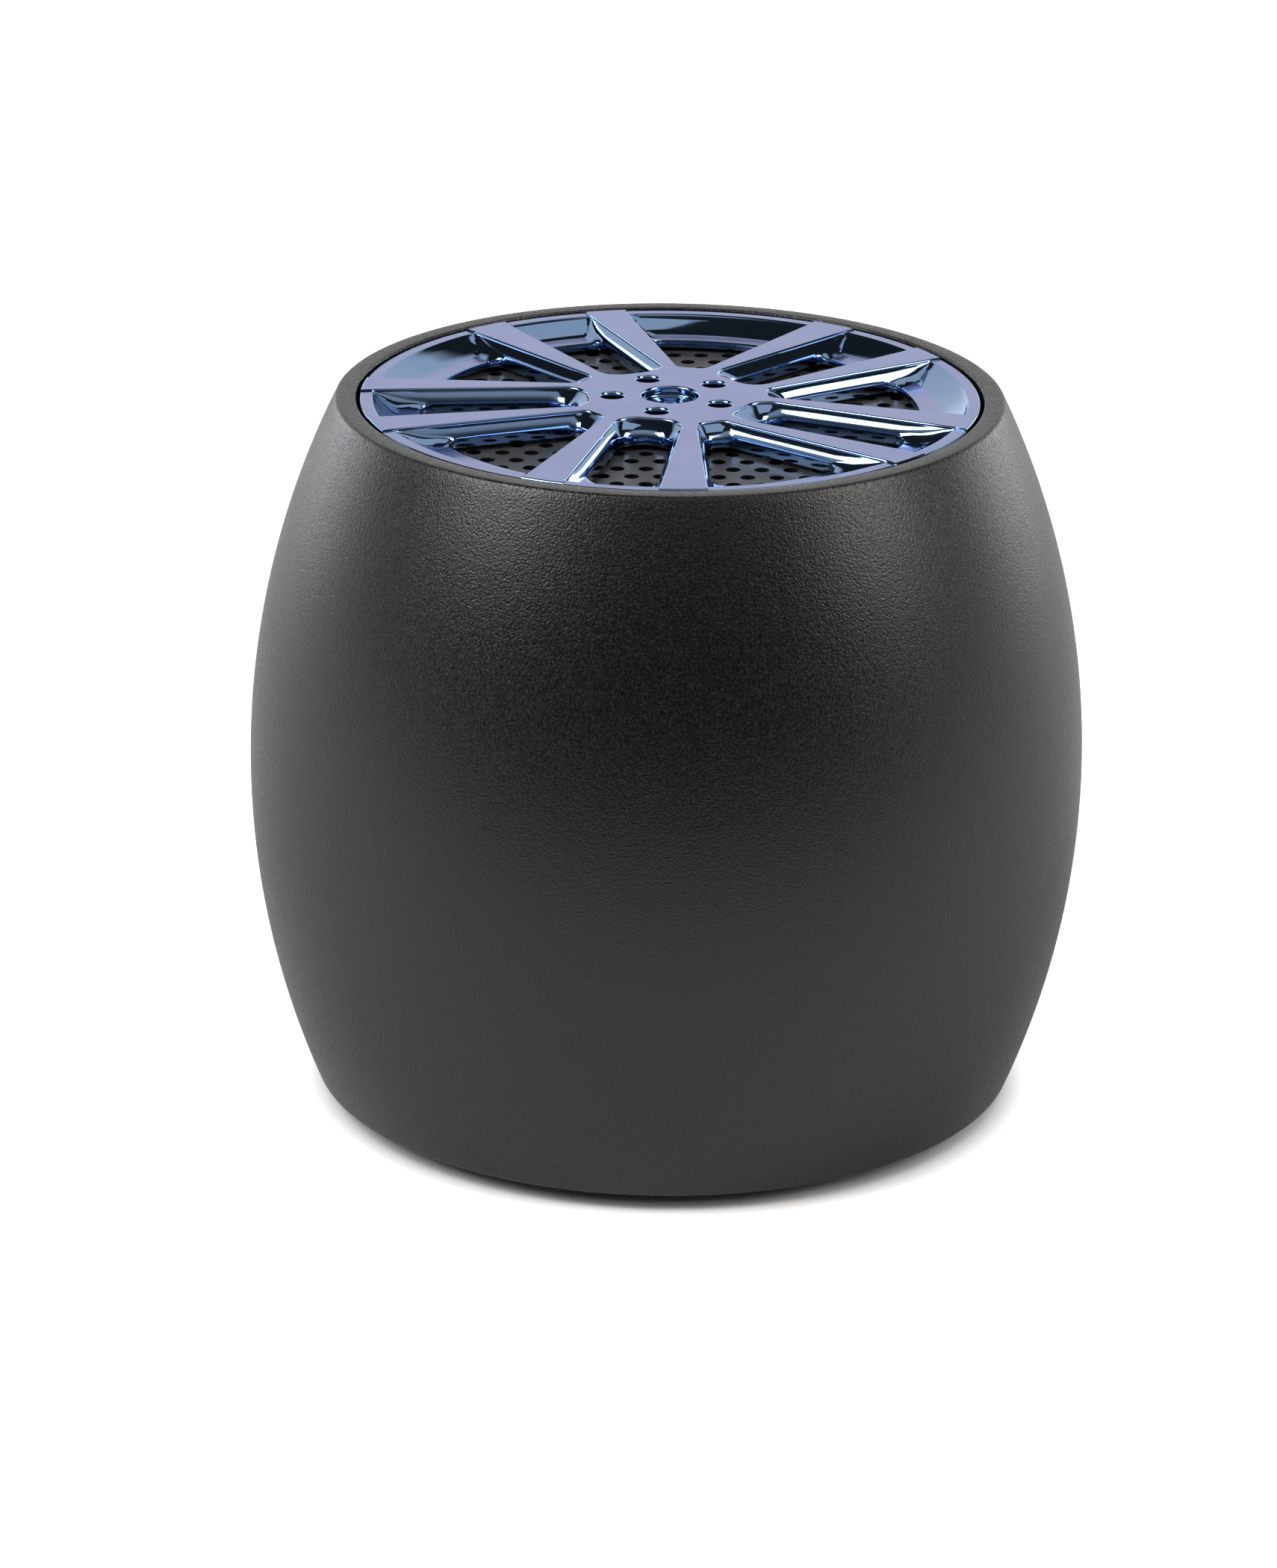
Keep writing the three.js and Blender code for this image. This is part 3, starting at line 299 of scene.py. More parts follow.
def shell_rim():
    finish = Finish("charcoal_smooth_rim", (0.05, 0.048, 0.046), 0.3)
    finish.bump(finish.noise(0.12 * MM, detail=2.0), 0.004 * MM, 0.5)
    finish.rub(finish.noise(1.5 * MM, detail=3.0), 0.04)
    return finish


def wheel_face():
    finish = Finish("blue_plate_satin_face", (0.26, 0.31, 0.6), 0.16, metallic=1.0)
    finish.bump(finish.noise(0.16 * MM, detail=2.0), 0.0012 * MM, 0.5)
    finish.rub(finish.noise(1.2 * MM, detail=3.0), 0.04)
    finish.tint(finish.noise(5 * MM, detail=2.0), (0.3, 0.34, 0.62))
    return finish


def wheel_flank():
    finish = Finish("blue_plate_mirror_flank", (0.27, 0.4, 0.63), 0.06, metallic=1.0)
    finish.bump(finish.noise(2.2 * MM, detail=1.0), 0.006 * MM, 0.5)
    finish.rub(finish.noise(1.0 * MM, detail=3.0), 0.02)
    finish.tint(finish.noise(4 * MM, detail=2.0), (0.25, 0.38, 0.62))
    return finish


def grille_coat():
    finish = Finish("black_coated_sheet", (0.07, 0.07, 0.075), 0.4, metallic=0.2)
    finish.bump(finish.noise(0.12 * MM, detail=2.0), 0.006 * MM, 0.5)
    finish.rub(finish.noise(1.0 * MM, detail=3.0), 0.05)
    finish.tint(finish.noise(2.5 * MM, detail=3.0), (0.09, 0.09, 0.094))
    return finish


# painted shade: the hole walls are near black and barely glossy, so the holes read dark
def painted_hole_shade():
    finish = Finish("painted_shade_in_holes", (0.004, 0.004, 0.004), 0.7, Specular_IOR_Level=0.2)
    finish.rub(finish.noise(0.4 * MM), 0.08)
    return finish


SHELL_GRAIN = shell_grain()
SHELL_RIM = shell_rim()
WHEEL_FACE = wheel_face()
WHEEL_FLANK = wheel_flank()
GRILLE_COAT = grille_coat()
HOLE_PAINTED_SHADE = painted_hole_shade()

# %% [markdown]
# ## The barrel
# The side is one long arc, widest a little below the middle. The outline runs up that arc, over
# the narrow flat rim, down the bore that holds the wheel, round the shelf that carries the driver
# and down the inside of the wall. It is spun with many facets, because a silhouette this large
# shows every flat.

# %% Barrel shell
def barrel_radius(z):
    """The outside radius of the barrel at a height."""
    return BELLY_R - SIDE_ARC_R + math.sqrt(SIDE_ARC_R ** 2 - (z - BELLY_Z) ** 2)


def make_barrel():
    wall = 2 * MM
    base_seat_r = 24.1 * MM
    seat_z = LIP_Z + 2.9 * MM
    shelf_z = TOP_Z - 6.5 * MM
    shelf_thick = 1.6 * MM
    shelf_r = 18.6 * MM
    cone_z = shelf_z - 4 * shelf_thick
    side_steps, inside_steps = 64, 16
    side = []
    for step in range(1, side_steps):
        z = LIP_Z + (TOP_Z - LIP_Z) * step / side_steps
        side.append((barrel_radius(z), z, 0))
    inside = []
    for step in range(inside_steps + 1):
        z = cone_z + (seat_z - cone_z) * step / inside_steps
        inside.append((barrel_radius(z) - wall, z, 0))
    outline = [
        (base_seat_r, LIP_Z, 0.2 * MM),
        (barrel_radius(LIP_Z), LIP_Z, 0.35 * MM),
        *side,
        (barrel_radius(TOP_Z), TOP_Z, 0.35 * MM),
        (BORE_R, TOP_Z, 0.15 * MM),
        (BORE_R, shelf_z),
        (shelf_r, shelf_z),
        (shelf_r, shelf_z - shelf_thick),
        *inside,
        (base_seat_r, seat_z),
    ]
    rim_edge = barrel_radius(TOP_Z) - 0.12 * MM
    rim_depth = 0.2 * MM

    def slot(radius, z):
        """1, for the smooth finish, on the rim and 0 elsewhere."""
        return 1 if z > TOP_Z - rim_depth and radius < rim_edge else 0

    barrel = revolve("barrel", rounded(outline, 0.15 * MM), facets=288, slots=slot)
    dress(barrel, SHELL_GRAIN, SHELL_RIM)
    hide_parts(BARREL)
    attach(barrel, HOUSING)
    return barrel


barrel = make_barrel()
print("barrel faces:", len(barrel.data.polygons))

# %% [markdown]
# ## The wheel, drawn as one fifth
# The trim is a miniature alloy wheel: a hub with five lug holes, ten spokes in pairs, and a rim
# with a sloping wall and a ledge. Its shape repeats five times, so only one fifth is drawn, and a
# Geometry Nodes tree turns it round and welds the five copies. The cuts run through the middle of
# a wide window, where only the hub and the rim have to meet.
#
# Each window is drawn as half a path, from the middle of its rim end to the middle of its hub end.
# The same path is drawn again at each level on the way down, a little smaller each time, and the
# levels are joined by quads. So the flanks get their arc, and the corners at the rim their growing
# fillets, from one rule.

# %% Wheel sizes
SPOKE_PAIRS = 5
SECTOR = 360 / SPOKE_PAIRS
WHEEL_R = 21.95 * MM
WHEEL_THICK = 1.75 * MM
LIP_STEP = 0.12 * MM          # the rim's lip lies this far below the spokes' faces
HUB_BORE_R = 2.0 * MM
LUG_CIRCLE_R = 4.1 * MM
LUG_ANGLE = 40.6
LUG_HOLE_R = 0.83 * MM
WELD = 0.0005 * MM            # points of neighbouring fifths this close are one

# sides gives the low and the high side's angle in degrees, near the hub and at the rim
NARROW = {
    "near_r": 7.5 * MM,
    "far_r": 21 * MM,
    "sides": {-1: (23, 34.4), 1: (60, 52)},
    "end_angle": 41.5,
    "end_distance": 5.85 * MM,
    "hub_corner_r": 1.65 * MM,
}
WIDE = {
    "near_r": 7.2 * MM,
    "far_r": 21 * MM,
    "sides": {-1: (69, 60.8), 1: (86, 98.4)},
    "end_angle": 77.5,
    "end_distance": 6.96 * MM,
    "hub_corner_r": 0.9 * MM,
}

# %% Points, lines and circles in the wheel's plane
def polar(radius, degrees):
    turn = math.radians(degrees)
    return Vector((radius * math.cos(turn), radius * math.sin(turn)))


def turned(vector, degrees):
    """The vector turned to the left by an angle."""
    return Matrix.Rotation(math.radians(degrees), 2) @ vector


def crossing(a, b, c, d):
    """Where the line through a and b meets the line through c and d."""
    along, across, gap = b - a, d - c, c - a
    share = (gap.x * across.y - gap.y * across.x) / (along.x * across.y - along.y * across.x)
    return a + along * share


def on_circle(near, far, radius):
    """Where the line from near through far leaves the circle of that radius."""
    along = (far - near).normalized()
    closest = near - along * near.dot(along)
    return closest + along * math.sqrt(radius ** 2 - closest.length_squared)


def arc(centre, start, end, steps):
    """Points on the short arc about centre from start to end."""
    first, last = start - centre, end - centre
    sweep = math.atan2(first.x * last.y - first.y * last.x, first.dot(last))
    return [centre + Matrix.Rotation(sweep * k / steps, 2) @ first for k in range(steps + 1)]


# %% Half of a window's path
ARC_STEPS, CORNER_STEPS, SIDE_STEPS, HUB_STEPS = 12, 6, 6, 8
HUB_SLOPE = 2.2          # the hub's end of a window slopes this much further than its sides
HUB_CORNER_SHARE = 0.95  # a hub corner takes at most this share of the room beside it


def half_window(window, side, turn, inset, rim_r, corner_r):
    """The path from the rim's middle to the hub's middle, as (point, share) pairs.
    The share is 1 along the rim, 0 along the side, and in between round the corner."""
    near_angle, far_angle = window["sides"][side]
    near = polar(window["near_r"], near_angle + turn)
    far = polar(window["far_r"], far_angle + turn)
    inward = turned((far - near).normalized(), -90 * side)
    near = near + inward * inset
    far = far + inward * inset
    outward = polar(1, window["end_angle"] + turn)
    middle = outward * (window["end_distance"] + inset * (1 if inset < 0 else HUB_SLOPE))
    aside = turned(outward, 90)

    centre = on_circle(near + inward * corner_r, far + inward * corner_r, rim_r - corner_r)
    touch_rim = centre.normalized() * rim_r
    touch_side = centre - inward * corner_r
    rim = arc(Vector((0, 0)), outward * rim_r, touch_rim, ARC_STEPS)
    rim_corner = arc(centre, touch_rim, touch_side, CORNER_STEPS)

    hub_corner = crossing(near, far, middle, middle + aside)
    to_side = (far - near).normalized()
    to_middle = (middle - hub_corner).normalized()
    half = to_side.angle(to_middle) / 2
    room = HUB_CORNER_SHARE * (middle - hub_corner).length * math.tan(half)
    size = min(window["hub_corner_r"], room)
    hub_centre = hub_corner + (to_side + to_middle).normalized() * (size / math.sin(half))
    leave_side = hub_corner + to_side * (size / math.tan(half))
    reach_end = hub_corner + to_middle * (size / math.tan(half))
    hub = arc(hub_centre, leave_side, reach_end, HUB_STEPS)

    path = [(point, 1.0) for point in rim]
    path += [(point, 1 - k / CORNER_STEPS) for k, point in enumerate(rim_corner) if k > 0]
    for k in range(1, SIDE_STEPS):
        path.append((touch_side.lerp(leave_side, k / SIDE_STEPS), 0.0))
    path += [(point, 0.0) for point in hub]
    path.append((middle, 0.0))
    return path


# %% [markdown]
# The flank of a spoke starts with a small round, then falls along an arc that is steepest at the
# bottom. The rim's wall falls more gently to its ledge. Both are written as lists of levels of the
# same length, so that each level of the side has one level of the rim to join.

# %% Levels down a flank and down the rim
def flank_levels():
    """(inset, depth) pairs: a small edge round, a thin upright step, a long arc and a foot."""
    flank_r = 1.2 * MM
    top_turn, foot_turn = 53, 5
    arc_levels = 8
    levels = [(inset * MM, depth * MM) for inset, depth in (
        (-0.11, 0), (-0.07, 0.012), (-0.028, 0.042), (0, 0.1), (0.008, 0.19), (0.03, 0.21),
    )]
    inset, depth = levels[-1]
    top = math.radians(top_turn)
    for k in range(1, arc_levels + 1):
        lean = math.radians(top_turn + (foot_turn - top_turn) * k / arc_levels)
        levels.append((
            inset + flank_r * (math.cos(lean) - math.cos(top)),
            depth + flank_r * (math.sin(top) - math.sin(lean)),
        ))
    inset = levels[-1][0]
    levels.append((inset + 0.02 * MM, WHEEL_THICK - 0.1 * MM))
    levels.append((inset - 0.08 * MM, WHEEL_THICK))
    return levels


def rim_levels():
    """(radius, depth, corner fillet) for the rim: lip edge, sloping wall, ledge, edge and drop."""
    return [(r * MM, d * MM, c * MM) for r, d, c in (
        (21.1, 0, 0.03),
        (21.06, 0.01, 0.04),
        (21.01, 0.05, 0.06),
        (20.96, 0.12, 0.1),
        (20.86, 0.24, 0.16),
        (20.5, 0.5, 0.3),
        (20.12, 0.72, 0.42),
        (19.72, 0.93, 0.55),
        (19.35, 1.1, 0.68),
        (19.15, 1.16, 0.74),
        (18.5, 1.19, 0.8),
        (17.85, 1.21, 0.86),
        (17.72, 1.25, 0.9),
        (17.68, 1.35, 0.9),
        (17.68, 1.65, 0.9),
        (17.76, 1.75, 0.9),
    )]


FLANK = flank_levels()
RIM = rim_levels()
print("levels down a window:", len(FLANK), len(RIM))


# %% [markdown]
# ## One fifth as a mesh
# The fifth is an open mesh. Its upper face is one flat sheet over the hub and two spokes, filled
# round the lug hole by a triangulation that keeps every edge it is given. Small lips between the
# spokes lie a step lower. The underside is filled the same way, round the windows' last levels.

# %% A collector for the faces of one fifth
def inside(point, loop):
    """True if a point is inside a closed loop, by counting the edges to its right."""
    odd = False
    for a, b in zip(loop, [*loop[1:], loop[0]]):
        if (a.y > point.y) != (b.y > point.y):
            odd ^= point.x < a.x + (b.x - a.x) * (point.y - a.y) / (b.y - a.y)
    return odd


TRIANGLES_INSIDE = 1     # the triangulation's own number for filling inside the outer edges
FILL_TOLERANCE = 1e-5    # in millimetres, below which two points are one


class Sector:
    """Collects the vertices and faces of one fifth, and marks the faces of its flat top."""

    def __init__(self):
        self.bm = bmesh.new()
        self.flat = self.bm.faces.layers.int.new("flat_top")

    def point(self, place, z):
        return self.bm.verts.new((place.x, place.y, z))

    def face(self, corners, flat=0):
        """One face. Corners that are the same vertex count once, and a face needs three."""
        corners = list(dict.fromkeys(corners))
        if len(corners) > 2:
            self.bm.faces.new(corners)[self.flat] = flat

    def join(self, rows):
        """Quads between each row of vertices and the next."""
        for upper, lower in zip(rows, rows[1:]):
            for i in range(len(upper) - 1):
                self.face([upper[i], upper[i + 1], lower[i + 1], lower[i]])

    def fill(self, boundary, holes, flat=0):
        """A flat face with holes, as triangles between the vertices that are already there."""
        verts, edges = [], []
        for loop in (boundary, *holes):
            start = len(verts)
            verts += loop
            edges += [(start + i, start + (i + 1) % len(loop)) for i in range(len(loop))]
        points = [vert.co.xy / MM for vert in verts]
        cut = delaunay_2d_cdt(points, edges, [], TRIANGLES_INSIDE, FILL_TOLERANCE)
        for face in cut[2]:
            middle = sum((cut[0][i] for i in face), Vector((0, 0))) / len(face)
            if any(inside(middle, [vert.co.xy / MM for vert in hole]) for hole in holes):
                continue
            if inside(middle, points[: len(boundary)]):
                self.face([verts[cut[3][i][0]] for i in face], flat)


# %% Rows of points down the walls
def beside(radius, offsets):
    """(radius, depth) levels, from offsets to a radius and depths in millimetres."""
    return [(radius + offset * MM, depth * MM) for offset, depth in offsets]


CENTRE_HOLE = beside(HUB_BORE_R, (
    (0.16, 0), (0.08, 0.02), (0.02, 0.08), (0, 0.2), (0, 0.6), (-0.04, 0.66), (-0.18, 0.68),
    (-0.26, 0.7), (-0.3, 0.78), (-0.3, 1.65), (-0.2, 1.75),
))
LUG_HOLE = beside(LUG_HOLE_R, (
    (0.15, 0), (0.1, 0.015), (0.05, 0.06), (0.01, 0.16), (0, 0.3), (0, 1.65), (0.09, 1.75),
))
OUTER_EDGE = beside(WHEEL_R, ((-0.15, 0), (-0.08, 0.015), (-0.02, 0.07), (0, 0.15)))
OUTER_FOOT = beside(WHEEL_R, ((0, 1.65), (-0.1, 1.75)))
CENTRE_STEPS, LUG_STEPS, SPOKE_END_STEPS = 16, 32, 6


def window_rows(sector, window, side, turn):
    """Rows of vertices down half a window, one row for each level."""
    rows = []
    step_fades_by = 0.6 * MM
    for (inset, depth), (rim_r, rim_depth, corner_r) in zip(FLANK, RIM):
        rim_z = TOP_Z - rim_depth - LIP_STEP * max(0, 1 - rim_depth / step_fades_by)
        row = []
        for place, share in half_window(window, side, turn, inset, rim_r, corner_r):
            row.append(sector.point(place, (TOP_Z - depth) * (1 - share) + rim_z * share))
        rows.append(row)
    return rows


def round_rows(sector, centre, levels, angles, drop=0):
    """Rows of vertices down a round wall, at the given angles."""
    rows = []
    for radius, depth in levels:
        rows.append([sector.point(centre + polar(radius, a), TOP_Z - drop - depth) for a in angles])
    return rows


def spread(start, end, steps):
    """Numbers from start to end, the given number of equal steps apart."""
    return [start + (end - start) * k / steps for k in range(steps + 1)]


def leaving_angle(window, side, turn):
    """The angle at which a window's side, run on outwards, crosses the outer edge."""
    near_angle, far_angle = window["sides"][side]
    near = polar(window["near_r"], near_angle + turn)
    far = polar(window["far_r"], far_angle + turn)
    leave = on_circle(near, far, OUTER_EDGE[0][0])
    return math.degrees(math.atan2(leave.y, leave.x))


# %% The walls of one fifth
AXIS = Vector((0, 0))
CORNER_END = ARC_STEPS + CORNER_STEPS    # where a half window's path leaves the rim corner
ANGLE_DIGITS = 7


def share_points(sector, low_rows, high_rows, places):
    """Two halves that meet use the same vertices at the given places of each row."""
    for low_row, high_row in zip(low_rows, high_rows):
        for i in places:
            sector.bm.verts.remove(high_row[i])
            high_row[i] = low_row[i]


def draw_lips(sector, windows, leave, middles):
    """A lip beyond each half window, from the window's middle to where its side would leave."""
    lips = []
    for middle, angle in zip(middles, leave):
        angles = spread(middle, angle, ARC_STEPS)
        lips.append(round_rows(sector, AXIS, OUTER_EDGE, angles, LIP_STEP))
    share_points(sector, lips[1], lips[2], (0,))
    for lip, rows in zip(lips, windows):
        sector.join([rows[0][: ARC_STEPS + 1], *lip])
    return lips


def draw_spoke_ends(sector, windows, lips, leave):
    """The outer end of each spoke, and the small steps from it down to the lips beside it."""
    ends = []
    for i in (0, 2):
        ends.append(round_rows(
            sector, AXIS, OUTER_EDGE, spread(leave[i], leave[i + 1], SPOKE_END_STEPS)))
        sector.join(ends[-1])
    for i, lip in enumerate(lips):
        place = -(i % 2)
        spoke_side = [row[place] for row in ends[i // 2]]
        lip_side = [row[-1] for row in lip]
        sector.face([*windows[i][0][ARC_STEPS: CORNER_END + 1], *spoke_side, *lip_side[::-1]])
    return ends


def draw_outer_wall(sector, lips, ends):
    """The wall from the outer edge to the underside. Returns its lowest row of vertices."""
    above = [
        *lips[0][-1], *ends[0][-1], *lips[1][-1][::-1],
        *lips[2][-1][1:], *ends[1][-1], *lips[3][-1][::-1],
    ]
    at_angle = {}
    below = []
    for vert in above:
        angle = round(math.atan2(vert.co.y, vert.co.x), ANGLE_DIGITS)
        if angle not in at_angle:
            at_angle[angle] = sector.point(vert.co, TOP_Z - OUTER_FOOT[0][1])
        below.append(at_angle[angle])
    sector.join([above, below])
    foot_row = list(dict.fromkeys(below))
    shrink = OUTER_FOOT[1][0] / OUTER_FOOT[0][0]
    last_row = [sector.point(vert.co.xy * shrink, TOP_Z - OUTER_FOOT[1][1]) for vert in foot_row]
    sector.join([foot_row, last_row])
    return last_row


# %% The whole fifth
FLAT_NORMAL = 0.99                 # a face whose normal is this upright counts as flat
LEDGE_FOOT = RIM[-4][1]            # how far below the top the ledge ends


def draw_fifth():
    sector = Sector()
    start, end = WIDE["end_angle"] - SECTOR, WIDE["end_angle"]
    halves = [(WIDE, 1, -SECTOR), (NARROW, -1, 0), (NARROW, 1, 0), (WIDE, -1, 0)]
    windows = [window_rows(sector, *half) for half in halves]
    share_points(sector, windows[1], windows[2], (0, -1))
    for rows in windows:
        sector.join(rows)

    leave = [leaving_angle(*half) for half in halves]
    middles = (start, NARROW["end_angle"], NARROW["end_angle"], end)
    lips = draw_lips(sector, windows, leave, middles)
    ends = draw_spoke_ends(sector, windows, lips, leave)
    last_row = draw_outer_wall(sector, lips, ends)

    centre_rows = round_rows(sector, AXIS, CENTRE_HOLE, spread(start, end, CENTRE_STEPS))
    sector.join(centre_rows)
    lug_angles = spread(0, 360, LUG_STEPS)[:-1]
    lug_rows = round_rows(sector, polar(LUG_CIRCLE_R, LUG_ANGLE), LUG_HOLE, lug_angles)
    sector.join([[*row, row[0]] for row in lug_rows])

    top = [rows[0][CORNER_END:] for rows in windows]
    sector.fill([
        *top[0][::-1], *ends[0][0], *top[1], *top[2][::-1][1:], *ends[1][0], *top[3],
        *centre_rows[0][::-1],
    ], [lug_rows[0]], flat=1)
    foot = [rows[-1] for rows in windows]
    sector.fill([
        *foot[0][::-1], *last_row, *foot[3], *centre_rows[-1][::-1],
    ], [[*foot[1], *foot[2][1:-1][::-1]], lug_rows[-1]])

    # the lips and the ledge lie as flat as the top and share its finish
    for face in sector.bm.faces:
        face.normal_update()
        if abs(face.normal.z) > FLAT_NORMAL and face.calc_center_median().z > TOP_Z - LEDGE_FOOT:
            face[sector.flat] = 1
    mesh = bpy.data.meshes.new("wheel_fifth")
    sector.bm.to_mesh(mesh)
    sector.bm.free()
    return new_object("wheel_fifth", mesh)


fifth = draw_fifth()
print("faces in one fifth:", len(fifth.data.polygons))

# %% [markdown]
# ## A Geometry Nodes tree that turns one fifth into the wheel
# The tree puts five copies of the fifth on five points at the axis, each turned by its own number
# times 72 degrees, makes them real and welds the cuts. The flat top takes the satin finish and
# everything else the mirror one, chosen by the mark that the sector drew on its faces.

# %% Tree helpers
class Tree:
    """A Geometry Nodes tree with named inputs, and short calls for adding and linking nodes."""

    def __init__(self, name, **inputs):
        self.group = bpy.data.node_groups.new(name, "GeometryNodeTree")
        face = self.group.interface
        face.new_socket("Geometry", in_out="INPUT", socket_type="NodeSocketGeometry")
        self.ids = {}
        for label, (kind, value) in inputs.items():
            socket = face.new_socket(label, in_out="INPUT", socket_type=f"NodeSocket{kind}")
            self.ids[label] = (socket.identifier, value)
        face.new_socket("Geometry", in_out="OUTPUT", socket_type="NodeSocketGeometry")
        self.start = self.group.nodes.new("NodeGroupInput").outputs
        self.end = self.group.nodes.new("NodeGroupOutput").inputs[0]

    def add(self, kind, settings=None, **sockets):
        """A node, with its sockets set to values or linked to outputs. A keyword names a socket,
        or numbers it: i0, i1 and so on."""
        node = self.group.nodes.new(kind)
        for key, value in (settings or {}).items():
            setattr(node, key, value)
        for key, value in sockets.items():
            numbered = key[1:].isdigit()
            socket = node.inputs[int(key[1:]) if numbered else key.replace("_", " ")]
            if isinstance(value, bpy.types.NodeSocket):
                self.group.links.new(value, socket)
            else:
                socket.default_value = value
        return node.outputs

    def calc(self, operation, a, b=0.0):
        return self.add("ShaderNodeMath", {"operation": operation}, i0=a, i1=b)[0]

    def put_on(self, obj):
        modifier = obj.modifiers.new(self.group.name, "NODES")
        modifier.node_group = self.group
        for identifier, value in self.ids.values():
            modifier[identifier] = value
        return modifier


def settle(obj, weighted=True):
    """Replaces a live object by the plain mesh that it evaluates to, with its normals weighted
    by face area, so that a flat face stays flat right up to its small edge rounds."""
    if weighted:
        smooth = obj.modifiers.new("flat faces first", "WEIGHTED_NORMAL")
        smooth.keep_sharp = True
    graph = bpy.context.evaluated_depsgraph_get()
    mesh = bpy.data.meshes.new_from_object(
        obj.evaluated_get(graph), preserve_all_data_layers=True, depsgraph=graph)
    obj.modifiers.clear()
    old = obj.data
    obj.data = mesh
    mesh.name = obj.name
    if not old.users:
        bpy.data.meshes.remove(old)
    return obj


def outward(obj):
    """Points every face of a closed mesh outwards."""
    bm = bmesh.new()
    bm.from_mesh(obj.data)
    bmesh.ops.recalc_face_normals(bm, faces=bm.faces)
    open_edges = sum(1 for edge in bm.edges if len(edge.link_faces) != 2)
    volume = bm.calc_volume() / MM ** 3
    bm.to_mesh(obj.data)
    bm.free()
    print(obj.name, "open edges:", open_edges, "volume:", round(volume, 2), "mm3")
    return obj


# %% The wheel's tree
def round_axis_tree():
    """Copies of the fifth round the axis, welded, with one material on its flat faces and another
    on the rest."""
    tree = Tree("repeat_round_axis", Copies=("Int", SPOKE_PAIRS), Weld=("Float", WELD))
    points = tree.add("GeometryNodePoints", Count=tree.start["Copies"])["Points"]
    number = tree.add("GeometryNodeInputIndex")[0]
    turn = tree.calc("DIVIDE", tree.calc("MULTIPLY", number, math.tau), tree.start["Copies"])
    angles = tree.add("ShaderNodeCombineXYZ", Z=turn)[0]
    copies = tree.add(
        "GeometryNodeInstanceOnPoints", Points=points, Instance=tree.start["Geometry"],
        Rotation=angles)["Instances"]
    real = tree.add("GeometryNodeRealizeInstances", Geometry=copies)["Geometry"]
    welded = tree.add(
        "GeometryNodeMergeByDistance", Geometry=real, Distance=tree.start["Weld"])["Geometry"]
    all_over = tree.add(
        "GeometryNodeSetMaterial", Geometry=welded, Material=WHEEL_FLANK.material)["Geometry"]
    flat = tree.add("GeometryNodeInputNamedAttribute", {"data_type": "INT"}, Name="flat_top")[0]
    faced = tree.add(
        "GeometryNodeSetMaterial", Geometry=all_over, Selection=flat,
        Material=WHEEL_FACE.material)["Geometry"]
    tree.group.links.new(faced, tree.end)
    return tree


# %% The wheel
def crease_flat_borders(obj):
    """Marks the edges round the flat faces as sharp, so that a flat face shades truly flat."""
    flat = [mark.value for mark in obj.data.attributes["flat_top"].data]
    kinds = {}
    for face in obj.data.polygons:
        for key in face.edge_keys:
            kinds.setdefault(key, set()).add(flat[face.index])
    for edge in obj.data.edges:
        if len(kinds[edge.key]) > 1:
            edge.use_edge_sharp = True


def make_wheel():
    wheel = dress(fifth, WHEEL_FLANK, WHEEL_FACE)
    wheel.name = "wheel"
    round_axis_tree().put_on(wheel)
    settle(wheel, weighted=False)
    outward(wheel)
    finish_mesh(wheel, 36)
    crease_flat_borders(wheel)
    settle(wheel)
    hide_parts("wheel_trim")
    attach(wheel, HOUSING)
    return wheel


wheel = make_wheel()
print("wheel faces:", len(wheel.data.polygons), "materials:", [m.name for m in wheel.data.materials])

# %% [markdown]
# ## The perforated grille
# The grille is a shallow cap pressed from sheet. A second tree lays out a field of points in
# staggered rows, keeps those within the field, stands a short pin on each, and cuts all the pins
# from the cap. On the real part the holes are punched flat before the rim is drawn down.

# %% The grille
GRILLE_R = 21.8 * MM
GRILLE_TOP_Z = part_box("grille")[1][2]
GRILLE_FOOT_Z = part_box("grille")[0][2]
SHEET_THICK = 0.55 * MM
HOLE_PITCH = 2.0 * MM
HOLE_D = 1.05 * MM
FIELD_R = 20.2 * MM
FIELD_SHIFT = (0.34 * MM, -0.58 * MM)    # the hole pattern isn't centred on the axis
FACETS_PER_HOLE = 20


